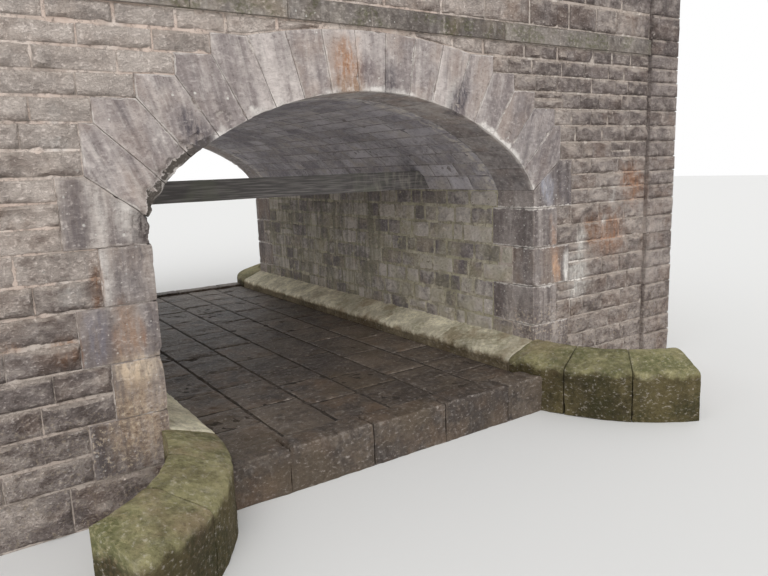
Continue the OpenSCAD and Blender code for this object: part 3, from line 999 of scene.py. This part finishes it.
def jamb_stone():
    paint = weathered("jamb_stone", (204, 195, 186), (122, 114, 115), (180, 167, 146),
                      runs=0.18, smear=0.60, putty=PASSAGE_PUTTY, varied=0.60)
    paint.clouds((156, 151, 120), 0.40, 0.46, 0.60, 0.6, 4, paint.axis("Z").band(2.9, 1.6), seed=14)
    damp_run(paint, 0.5)
    return paint.close(rough_height(paint, scoops=0.6), 0.020)


def kerb_stone(name, light, dark, mossy):
    paint = weathered(name, light, dark, (154, 136, 108), runs=0.12)
    tufts = paint.noise(0.04, seed=36, rough=0.7).band(0.36, 0.56)
    paint.clouds(MOSS, mossy, 0.46, 0.62, 0.55, within=tufts, seed=15)
    level = paint.noise(0.20, seed=37, rough=0.65).scaled(0.24, paint.axis("Z"))
    paint.lay(level.band(0.68, 0.60) * 0.9, (140, 128, 112), "MULTIPLY")
    return paint.close(rough_height(paint), 0.012)


def bed_stone():
    paint = weathered("bed_stone", (108, 96, 84), (66, 58, 53), (112, 92, 74), runs=0.1)
    paint.clouds((88, 76, 62), 0.7, 0.50, 0.64, 0.8, seed=16)
    paint.shader.inputs["Roughness"].default_value = 0.50
    return paint.close(rough_height(paint), 0.010)


def rubble_stone():
    paint = weathered("rubble_stone", (160, 148, 136), (98, 90, 84), (148, 128, 104),
                      runs=0.15, smear=0.6, putty=(166, 154, 138))
    return paint.close(rough_height(paint, pits=0.5), 0.012)


def mortar(name, light, dark, stain_colour, share, limed=0.0, damp=0.0):
    """Old mortar: patches of two tones, stains, dirty gaps and, where limed, white lime and painted shade on
    the right-hand side, with the foot also darker.
    """
    paint = Paint(name, dark)
    paint.clouds(light, 1.0, 0.40, 0.60, 0.16, seed=17, rough=0.65)
    paint.clouds(stain_colour, share, 0.44, 0.58, 0.6, 4, seed=18)
    if damp:
        damp_run(paint, damp)
    if limed:
        side = paint.axis("X").band(0.5, 2.0)
        foot = paint.axis("Z").band(2.6, 1.1) * 0.6
        # painted shade over the right-hand side, and darker towards the foot
        paint.lay((side * 0.65).calc("MAXIMUM", foot), (160, 150, 141))
        paint.clouds((224, 217, 208), limed, 0.54, 0.66, 0.11, within=side, seed=34, rough=0.7)
        stained(paint, WALLING_STAINS)
    paint.clouds((104, 94, 88), 0.6, 0.50, 0.38, 0.045, seed=35, rough=0.7)
    return paint.close(paint.noise(0.02, seed=19, rough=0.7), 0.010)


def earth():
    paint = Paint("fill_earth", (108, 95, 77), roughness=0.95)
    paint.clouds((132, 118, 96), 1.0, 0.36, 0.66, 0.35, 6, seed=20, rough=0.7)
    pebbles = paint.cells(0.035, seed=5)
    paint.clouds((160, 152, 138), 1.0, 0.45, 0.6, 0.2, 2, pebbles.band(0.34, 0.22), seed=21)
    return paint.close(pebbles.band(0.5, 0.1).scaled(0.8, paint.noise(0.05, seed=22)), 0.012)


def beam_timber():
    paint = Paint("beam_timber", (94, 91, 90), roughness=0.8)
    fibres = paint.noise(0.02, 4, seed=23, stretch=(0.05, 1, 1))
    paint.lay(fibres.band(0.42, 0.66), (132, 128, 125))
    paint.clouds((118, 120, 106), 0.5, 0.48, 0.66, 0.5, 4, seed=24)
    lit_end = paint.axis("X").band(0.6, 1.8)
    paint.clouds((176, 171, 160), 0.45, 0.46, 0.68, 0.07, within=lit_end, seed=28, rough=0.7,
                 stretch=(1, 1, 0.3))
    return paint.close(fibres, 0.006)


MATERIALS = {
    "ring": ring_stone(),
    "dressed": dressed_stone(),
    "capping": capping_stone(),
    "walling": walling_stone(),
    "soffit": soffit_stone(),
    "jamb": jamb_stone(),
    "bed": bed_stone(),
    "rubble": rubble_stone(),
    "earth": earth(),
    "timber": beam_timber(),
    "ledge": kerb_stone("ledge_stone", (248, 240, 212), (184, 176, 154), 0.35),
    "apron": kerb_stone("apron_stone", (160, 154, 114), (98, 94, 65), 0.80),
    "mortar": mortar("face_mortar", (216, 203, 193), (180, 166, 156), (206, 184, 170), 0.6, limed=0.55),
    "pointing": mortar("ring_pointing", (200, 191, 184), (148, 138, 132), (118, 108, 105), 0.4),
    "damp_mortar": mortar("passage_mortar", (190, 182, 162), (146, 139, 124), (156, 151, 124), 0.5, damp=0.7),
    "vault_mortar": mortar("vault_mortar", (172, 167, 170), (128, 123, 127), (146, 140, 138), 0.5),
    "silt": mortar("bed_silt", (70, 61, 52), (44, 39, 35), (60, 52, 43), 0.5),
}


def voussoir_lines(i, gap, sink=0.0):
    """Outline of voussoir i, or of the keystone after the last, with half a gap on each side."""
    half = gap / 2 / CROWN_R
    start = joint_angle(i) if i <= SIDE_VOUSSOIRS else -joint_angle(SIDE_VOUSSOIRS)
    angles = np.linspace(start + half, joint_angle(i - 1) - half, CURVE_POINTS)
    foot = arch_point(angles, sink)[0]
    if i > STEPPED_VOUSSOIRS:
        return between(foot, ray_to_circle(angles, EXTRADOS_CENTRE, EXTRADOS_R))
    inner = on_ray(angles[0], step_z(i) - gap / 2)
    outer = on_ray(angles[-1], step_z(i - 1) + gap / 2)
    return between(foot, np.array([inner, (outer[0], inner[1]), outer]))


def springer_lines(gap, sink=0.0):
    """Outline of a springer: level bed, upright side, level top and the skewback."""
    start, end = HALF_SPAN + sink, SPRINGER_X - gap / 2
    low, high = BED_Z + gap / 2, SPRINGER_TOP_Z - gap / 2
    toe = (start, SPRING_Z - gap / 2)
    top = [toe, on_ray(SKEW_ANGLE, high), (end, high)]
    return [(start, low), (end, low)], top, [(start, low), toe], [(end, low), top[-1]]


def quoin_size(i):
    """Face length and return of quoin i, counted upwards."""
    short_face = (QUOIN_COUNT - i) % 2 == 1
    return QUOIN_FACES[short_face], QUOIN_RETURNS[short_face]


def quoin_lines(i, gap, sink=0.0):
    low = FOUNDATION_Z + i * QUOIN_H + gap / 2
    return rectangle(HALF_SPAN + sink, low, HALF_SPAN + quoin_size(i)[0] - gap / 2, low + QUOIN_H - gap)


def ring_stones(face, side):
    pile = Pile(face, side, "ring_stones")
    place = face_plane(SIDES[side], FACES[face], DRESSED_Y)
    for i in range(1, SIDE_VOUSSOIRS + 1):
        lean = STREAK_LEAN * (joint_angle(i) + joint_angle(i - 1)) / 2
        block(pile, place, voussoir_lines(i, RING_JOINT), turn=lean, **RING_STONE)
    pile.piece("ring", "dressed_stone", f"{face}_{side}_ring")


def keystone(face):
    pile = Pile(face, "keystone_stone")
    place = face_plane(1, FACES[face], DRESSED_Y)
    block(pile, place, voussoir_lines(SIDE_VOUSSOIRS + 1, RING_JOINT), **RING_STONE)
    pile.piece("ring", "dressed_stone", f"{face}_keystone")


def springer(face, side):
    pile = Pile(face, side, "springer_stone")
    place = face_plane(SIDES[side], FACES[face], DRESSED_Y)
    block(pile, place, springer_lines(RING_JOINT), **RING_STONE)
    pile.piece("dressed", "dressed_stone", f"{face}_{side}_springer")


def quoins(face, side):
    pile = Pile(face, side, "quoin_stones")
    place = face_plane(SIDES[side], FACES[face], DRESSED_Y)
    for i in range(QUOIN_COUNT):
        depth = quoin_size(i)[1] + DRESSED_Y - WALL_Y
        block(pile, place, quoin_lines(i, JOINT), depth, DRESSED, DRESSED_OUT, spacing=0.05)
    pile.piece("dressed", "dressed_stone", f"{face}_{side}_quoins")


def joint_mortar(face):
    """Mortar inside the stones of the ring, springers and quoins, which shows in their joints."""
    pile = Pile(face, "joint_mortar")
    depth = RING_DEPTH - JOINT_SINK
    fine = CORE._replace(step=0.06)
    middle = face_plane(1, FACES[face], DRESSED_Y - JOINT_SINK)
    block(pile, middle, voussoir_lines(SIDE_VOUSSOIRS + 1, 0, FOOT_SINK), depth, fine)
    for side in SIDES.values():
        place = face_plane(side, FACES[face], DRESSED_Y - JOINT_SINK)
        for i in range(1, SIDE_VOUSSOIRS + 1):
            block(pile, place, voussoir_lines(i, 0, FOOT_SINK), depth, fine)
        block(pile, place, springer_lines(0, FOOT_SINK), depth, fine)
        for i in range(QUOIN_COUNT):
            block(pile, place, quoin_lines(i, 0, FOOT_SINK), quoin_size(i)[1] - FOOT_SINK, fine)
    pile.piece("pointing", "dressed_stone")


HALF_QUOINS = [FOUNDATION_Z + QUOIN_H * k / 2 for k in range(2 * QUOIN_COUNT + 1)]
LOW_LEVELS = [0, *HALF_QUOINS]
SIDE_LEVELS = [BED_Z + (SPRINGER_TOP_Z - BED_Z) * k / 3 for k in range(1, 4)]
UPPER_LEVELS = [course_z(k) for k in range(1, WALL_COURSES + 1)]
SPANDREL_LEVELS = [SPRINGER_TOP_Z] + UPPER_LEVELS
PARAPET_LEVELS = list(np.linspace(STRING_TOP_Z, PARAPET_TOP_Z, PARAPET_COURSES + 1))
WALLING = {"left": dict(lengths=(0.42, 0.90), gaps=(-0.004, 0.002)),
           "right": dict(lengths=(0.24, 0.56), gaps=(0.0, 0.001), split=0.05)}


def quoin_beside(z):
    """Number of the quoin at a level just above a bed."""
    return int((z - FOUNDATION_Z + 0.01) / QUOIN_H)


def beside_jamb(z0, z1):
    """Ends of a wall course beside the passage, a quoin or the springer."""
    if z0 < FOUNDATION_Z:
        return HALF_SPAN, WING_X
    if z1 > BED_Z + JOINT:
        return SPRINGER_X, WING_X
    return HALF_SPAN + quoin_size(quoin_beside(z0))[0], WING_X


def beside_ring(z0, z1):
    """Ends of a spandrel course beside a stepped voussoir."""
    beside = max(1, SPANDREL_LEVELS.index(z0)) - 1
    return on_ray(joint_angle(beside), step_z(beside))[0], WING_X


def inside_passage(z0, z1):
    """Ends of a jamb course between the quoins, or between the rings above them."""
    end = WALL_Y - quoin_size(quoin_beside(z0))[1] if z1 <= BED_Z + JOINT else FILL_Y
    return -end, end


def wall_stones(face, side):
    """Rock-faced courses beside the jamb, up to the springer's top."""
    pile = Pile(face, side, "wall_stones")
    place = face_plane(SIDES[side], FACES[face], WALL_Y)
    courses(pile, place, LOW_LEVELS + SIDE_LEVELS, beside_jamb, work=ROCK, **WALLING[side])
    pile.piece("walling", "walling_stone")


def spandrel_stones(face, side):
    """Rock-faced courses beside and over the ring, up to the string course."""
    pile = Pile(face, side, "spandrel_stones")
    place = face_plane(SIDES[side], FACES[face], WALL_Y)
    above = courses(pile, place, SPANDREL_LEVELS[:-1], beside_ring, work=ROCK, **WALLING[side])
    z0, z1 = SPANDREL_LEVELS[-2:]
    for x0, x1 in pairwise(bond(TOP_START, WING_X, 0.36, 0.68, above, pile.rng)):
        line = np.linspace(x0 + TOP_GAP, x1 - TOP_GAP, EDGE_POINTS)
        ring_top = EXTRADOS_CENTRE[1] + np.sqrt(np.maximum(EXTRADOS_R ** 2 - line ** 2, 0))
        bottom = np.stack([line, np.maximum(ring_top, z0) + RING_GAP], -1)
        top = np.array([(line[0], z1 - TOP_GAP), (line[-1], z1 - TOP_GAP)])
        block(pile, place, between(bottom, top), STONE_DEPTH, ROCK, STONE_OUT)
    pile.piece("walling", "walling_stone")


def pilaster_stones(face, side):
    pile = Pile(face, side, "pilaster_stones")
    place = face_plane(SIDES[side], FACES[face], PILASTER_Y)
    depth = PILASTER_Y - FILL_Y
    levels = LOW_LEVELS + SIDE_LEVELS + UPPER_LEVELS + PARAPET_LEVELS
    work = ROCK._replace(step=0.046, pillow=0.018, wander=0.004)
    for z0, z1 in pairwise(levels):
        lines = rectangle(WING_X, z0 + PILASTER_GAP, END_X, z1 - PILASTER_GAP)
        block(pile, place, lines, depth, work, spacing=0.12)
    core = face_plane(SIDES[side], FACES[face], PILASTER_Y - JOINT_SINK)
    inside = rectangle(WING_X + JOINT_SINK, 0, END_X - 2 * JOINT_SINK, PARAPET_TOP_Z)
    block(pile, core, inside, depth - 2 * JOINT_SINK, CORE)
    pile.piece("walling", "walling_stone", f"{face}_{side}_pilaster")


def string_stones(face):
    """String course of long dressed stones with a weathered top edge."""
    pile = Pile(face, "string_stones")
    length = 2 * WING_X / STRING_STONES
    outer, inner = WALL_Y + STRING_PROUD, FILL_Y
    nose = STRING_TOP_Z - STRING_FALL
    lines = ([(inner, STRING_Z), (outer, STRING_Z)],
             [(inner, STRING_TOP_Z), (WALL_Y, STRING_TOP_Z), (outer, nose)],
             [(inner, STRING_Z), (inner, STRING_TOP_Z)], [(outer, STRING_Z), (outer, nose)])
    for k in range(STRING_STONES):
        place = run_plane(-WING_X + k * length + JOINT / 2, FACES[face])
        block(pile, place, lines, length - JOINT, DRESSED._replace(step=0.05), spacing=0.06)
    behind = rectangle(inner + JOINT_SINK, STRING_Z, outer - 2 * JOINT_SINK, nose - JOINT_SINK)
    block(pile, run_plane(-WING_X, FACES[face]), behind, 2 * WING_X, CORE)
    pile.piece("capping", "dressed_stone", f"{face}_string_course")


def parapet_stones(face):
    pile = Pile(face, "parapet_stones")
    way = FACES[face] * Y
    for place in (Plane(WALL_Y * way, X, Z, way), Plane((WALL_Y - PARAPET_T) * way, X, Z, -way)):
        courses(pile, place, PARAPET_LEVELS, (-WING_X, WING_X), (0.38, 0.80), PARAPET)
    pile.piece("walling", "walling_stone")


def coping_stones(face):
    """Saddleback coping stones on the parapet, and a cap on each pilaster."""
    pile = Pile(face, "coping_stones")
    end = WING_X - COPING_OVERHANG
    length = 2 * end / COPING_STONES
    work = DRESSED._replace(step=0.05, arris=0.014)
    inner, outer = WALL_Y - PARAPET_T - COPING_OVERHANG, WALL_Y + COPING_OVERHANG
    bottom, _, left, right = rectangle(inner, PARAPET_TOP_Z, outer, PARAPET_TOP_Z + COPING_EDGE)
    lines = bottom, [left[1], ((inner + outer) / 2, COPING_TOP_Z), right[1]], left, right
    for k in range(COPING_STONES):
        place = run_plane(-end + k * length + JOINT / 2, FACES[face])
        block(pile, place, lines, length - JOINT, work, spacing=0.07)
    for side in SIDES.values():
        cap_stone(pile, side, FACES[face], work)
    pile.piece("capping", "dressed_stone", f"{face}_coping")


def cap_stone(pile, x_sign, y_sign, work):
    """Hipped cap over a pilaster: the lower part is a block, and the face is its hipped top."""
    x0, x1 = WING_X - COPING_OVERHANG + JOINT, END_X + COPING_OVERHANG
    y0, y1 = FILL_Y - COPING_OVERHANG, PILASTER_Y + COPING_OVERHANG
    rise = COPING_TOP_Z - PARAPET_TOP_Z - COPING_EDGE

    class Hip(Plane):
        """Raises the middle of the cap's level face to its ridge."""

        def __call__(self, p):
            share_x = 1 - abs(p[..., 0] - (x0 + x1) / 2) / ((x1 - x0) / 2)
            share_y = 1 - abs(p[..., 1] - (y0 + y1) / 2) / ((y1 - y0) / 2)
            lift = rise * np.clip(np.minimum(share_x, share_y), 0, 1)
            return super().__call__(p + lift[..., None] * Z)

    place = Hip((PARAPET_TOP_Z + COPING_EDGE) * Z, x_sign * X, y_sign * Y, Z)
    block(pile, place, rectangle(x0, y0, x1, y1), COPING_EDGE, work, depths=[0.02, 0.05, COPING_EDGE])


def jamb_stones(side):
    """Coursed stones of the passage side between the quoins."""
    pile = Pile(side, "jamb_stones")
    place = Plane(SIDES[side] * HALF_SPAN * X, Y, Z, -SIDES[side] * X)
    levels = HALF_QUOINS + [SPRING_Z]
    courses(pile, place, levels, inside_passage, (0.20, 0.60), JAMB, (0.008, 0.006), out=0.001, split=0.06)
    pile.piece("jamb", "soffit_stone")


def vault_stones():
    """Stones of the soffit between the two rings, in courses along the passage."""
    pile = Pile("vault_stones")
    above = []
    for low, high in pairwise(np.linspace(-SKEW_ANGLE, SKEW_ANGLE, VAULT_COURSES + 1)):
        radius = np.linalg.norm(arch_point((low + high) / 2)[0] - FAN_CENTRE)
        start, end = low * radius + VAULT_GAP, high * radius - VAULT_GAP
        joints = bond(-FILL_Y, FILL_Y, 0.40, 0.90, above, pile.rng)
        above = joints[1:-1]
        for y0, y1 in pairwise(joints):
            lines = rectangle(y0 + VAULT_GAP, start, y1 - VAULT_GAP, end)
            block(pile, Vault(radius), lines, STONE_DEPTH, SOFFIT, out=VAULT_OUT)
    pile.piece("soffit", "soffit_stone")


def ledge_outline(back_w):
    """Section of the ledge from its back to its rounded water edge; 0 is the jamb's face."""
    slope = math.atan2(LEDGE_BACK_Z - LEDGE_EDGE_Z, LEDGE_W)
    round_x, round_z = LEDGE_W - LEDGE_ROUND, LEDGE_EDGE_Z - LEDGE_ROUND
    nose = [(round_x + LEDGE_ROUND * math.sin(a), round_z + LEDGE_ROUND * math.cos(a))
            for a in np.linspace(slope, math.pi / 2, NOSE_POINTS)]
    level = nose[0][1] + nose[0][0] * math.tan(slope)
    top = [(-back_w, level), (0, level)][back_w == 0:] + nose
    return [(-back_w, 0), (LEDGE_W, 0)], top, [(-back_w, 0), (-back_w, level)], [(LEDGE_W, 0), nose[-1]]


def footing(side):
    pile = Pile(side, "footing_slabs")
    length = 2 * DRESSED_Y / LEDGE_SLABS
    for k in range(LEDGE_SLABS):
        start = -DRESSED_Y + k * length + JOINT / 2
        place = Plane(SIDES[side] * HALF_SPAN * X + start * Y, -SIDES[side] * X, Z, -Y)
        block(pile, place, ledge_outline(0), length - JOINT, WORN, spacing=0.06)
    pile.piece("ledge", "kerb_stone", f"{side}_footing")


def aprons(face):
    pile = Pile(face, "apron_slabs")
    length = APRON_R * APRON_SWEEP / APRON_SLABS
    inset = APRON_R - LEDGE_W
    lines = [[(x + inset, z) for x, z in line] for line in ledge_outline(APRON_W - LEDGE_W)]
    for side in SIDES.values():
        for k in range(APRON_SLABS):
            place = Bend(side, FACES[face], k * length / APRON_R)
            block(pile, place, lines, length - JOINT, WORN, spacing=0.05)
    pile.piece("apron", "kerb_stone", f"{face}_aprons")


def water_edge(y):
    """Distance of an apron's water side from the middle, at a distance from the face's plane."""
    return APRON_X - math.sqrt(APRON_R ** 2 - (y - DRESSED_Y) ** 2)


def sill(face):
    pile = Pile(face, "sill_stones")
    place = Plane(SILL_Z * Z, X, FACES[face] * Y, Z)
    length = 2 * HALF_SPAN / SILL_STONES
    ends = np.linspace(SILL_IN_Y, SILL_OUT_Y, EDGE_POINTS)
    for k in range(SILL_STONES):
        x0 = -HALF_SPAN + k * length + JOINT / 2
        x1 = x0 + length - JOINT
        left = [(max(x0, -water_edge(y)), y) for y in ends]
        right = [(min(x1, water_edge(y)), y) for y in ends]
        lines = [left[0], right[0]], [left[-1], right[-1]], left, right
        block(pile, place, lines, SILL_Z, WORN._replace(arris=0.030), spacing=0.06)
    pile.piece("bed", "bed_stone", f"{face}_sill")


def floor_flags():
    pile = Pile("floor_flags")
    rows = np.linspace(-FLOOR_X, FLOOR_X, FLOOR_ROWS + 1)
    courses(pile, Plane(FLOOR_Z * Z, Y, -X, Z), rows, (-FLOOR_Y, FLOOR_Y), (0.55, 1.15), FLAG, out=0.003)
    pile.piece("bed", "bed_stone")


def end_stones(side):
    """Rough backing at the end of the bridge, where it meets the approach bank."""
    pile = Pile(side, "end_stones")
    way = SIDES[side]
    place = Plane(way * END_X * X, way * Y, Z, way * X)
    low = np.linspace(0, SPRINGER_TOP_Z, LOW_END_COURSES + 1)
    high = np.linspace(SPRINGER_TOP_Z, STRING_TOP_Z, HIGH_END_COURSES + 1)
    levels = [*low, *high[1:]]
    courses(pile, place, levels, (-FILL_Y, FILL_Y), (0.30, 0.80), RUBBLE, (0.016, 0.016), out=0.0)
    pile.piece("rubble", "walling_stone")


def deck_surface():
    """Earth between the parapets and at the ends, and a verge of it along each parapet."""
    pile = Pile("deck_surface")
    place = Plane(STRING_TOP_Z * Z, X, Y, Z)
    inner = WALL_Y - PARAPET_T
    for x, y0, y1 in ((END_X, -FILL_Y, FILL_Y), (WING_X, -inner, -FILL_Y), (WING_X, FILL_Y, inner)):
        block(pile, place, rectangle(-x, y0, x, y1), EARTH_DEPTH, EARTH, out=EARTH_OUT)
    pile.piece("earth", "deck_fill")


def beam():
    pile = Pile("beam_timber")
    low, high = BEAM_BOX
    lines = rectangle(low.y, low.z, high.y, high.z)
    block(pile, run_plane(low.x, 1), lines, high.x - low.x, TIMBER, spacing=0.06)
    pile.piece("timber", "beam_timber", "cross_beam")


for face in FACES:
    for side in SIDES:
        for make in (ring_stones, springer, quoins, wall_stones, spandrel_stones, pilaster_stones):
            make(face, side)
    for make in (keystone, joint_mortar, string_stones, parapet_stones, coping_stones, aprons, sill):
        make(face)
for side in SIDES:
    for make in (jamb_stones, footing, end_stones):
        make(side)
for make in (vault_stones, floor_flags, deck_surface, beam):
    make()

# The solids that stay in view show as mortar and earth
SOLID_MATERIALS = {"abutment": "damp_mortar", "barrel": "vault_mortar", "invert": "silt", "wall": "mortar",
                   "spandrel": "mortar", "parapet": "mortar", "fill": "earth"}
for name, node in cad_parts.items():
    for word, key in SOLID_MATERIALS.items():
        if word in name:
            node.data.materials.clear()
            node.data.materials.append(MATERIALS[key])

# Camera at the photograph's viewing angle, the pale floor and the light
CAMERA_AT = Vector((-3.835, -9.892, 2.916))
CAMERA_YAW = math.radians(34.02)
CAMERA_PITCH = math.radians(10.22)
CAMERA_ROLL = math.radians(-2.083)
CAMERA_LENS = 31.477
SENSOR_W = 36
STAGE_REACH = 90
STAGE_Z = -0.002
STAGE_COLOUR = (0.80, 0.80, 0.79, 1)
WHITE = (1, 1, 1, 1)
SKY_STRENGTH = 0.78
KEY_STRENGTH = 1.5
KEY_ANGLE = math.radians(50)
KEY_WAY = Vector((0.50, 0.85, -0.62))
FILL_POWER = 44
FILL_RAISE = 0.10


def make_camera():
    data = bpy.data.cameras.new("camera")
    data.lens = CAMERA_LENS
    data.sensor_width = SENSOR_W
    camera = put("camera", data)
    turn = Matrix.Rotation(-CAMERA_YAW, 4, "Z") @ Matrix.Rotation(math.pi / 2 - CAMERA_PITCH, 4, "X")
    camera.matrix_world = Matrix.Translation(CAMERA_AT) @ turn @ Matrix.Rotation(CAMERA_ROLL, 4, "Z")
    bpy.context.scene.camera = camera


def make_stage():
    """Plain pale floor, just under the bridge."""
    mesh = bpy.data.meshes.new("floor")
    corners = [(x * STAGE_REACH, y * STAGE_REACH, 0) for x, y in ((-1, -1), (1, -1), (1, 1), (-1, 1))]
    mesh.from_pydata(corners, [], [(0, 1, 2, 3)])
    floor = put("floor", mesh)
    floor.location.z = STAGE_Z
    pale = bpy.data.materials.new("floor")
    pale.use_nodes = True
    shader = pale.node_tree.nodes["Principled BSDF"]
    shader.inputs["Base Color"].default_value = STAGE_COLOUR
    shader.inputs["Roughness"].default_value = 0.9
    mesh.materials.append(pale)


def make_light():
    """Even white surroundings, seen as white, one wide soft key from the upper left, and a
    soft fill under the vault."""
    world = bpy.data.worlds.new("studio")
    bpy.context.scene.world = world
    world.use_nodes = True
    tree = world.node_tree
    tree.nodes.clear()
    path = add_node(tree, "LightPath", {}).outputs
    seen = path["Is Camera Ray"]
    for kind in ("Is Glossy Ray", "Is Transmission Ray"):
        seen = add_node(tree, "Math", {0: seen, 1: path[kind]}, operation="MAXIMUM").outputs[0]
    light = add_node(tree, "Background", {"Color": WHITE, "Strength": SKY_STRENGTH}).outputs[0]
    backdrop = add_node(tree, "Background", {"Color": WHITE}).outputs[0]
    mix = add_node(tree, "MixShader", {0: seen, 1: light, 2: backdrop})
    add_node(tree, "OutputWorld", {0: mix.outputs[0]})
    key = bpy.data.lights.new("soft_key", "SUN")
    key.energy = KEY_STRENGTH
    key.angle = KEY_ANGLE
    put("soft_key", key).rotation_euler = KEY_WAY.to_track_quat("-Z", "Y").to_euler()
    fill = bpy.data.lights.new("passage_fill", "AREA")
    fill.shape = "RECTANGLE"
    fill.size, fill.size_y = 2 * FLOOR_X, 2 * FLOOR_Y
    fill.energy = FILL_POWER
    lamp = put("passage_fill", fill)
    lamp.location.z = FLOOR_Z + FILL_RAISE
    lamp.rotation_euler.x = math.pi
    lamp.visible_camera = False


make_camera()
make_stage()
make_light()
bpy.context.scene.view_settings.view_transform = "Standard"
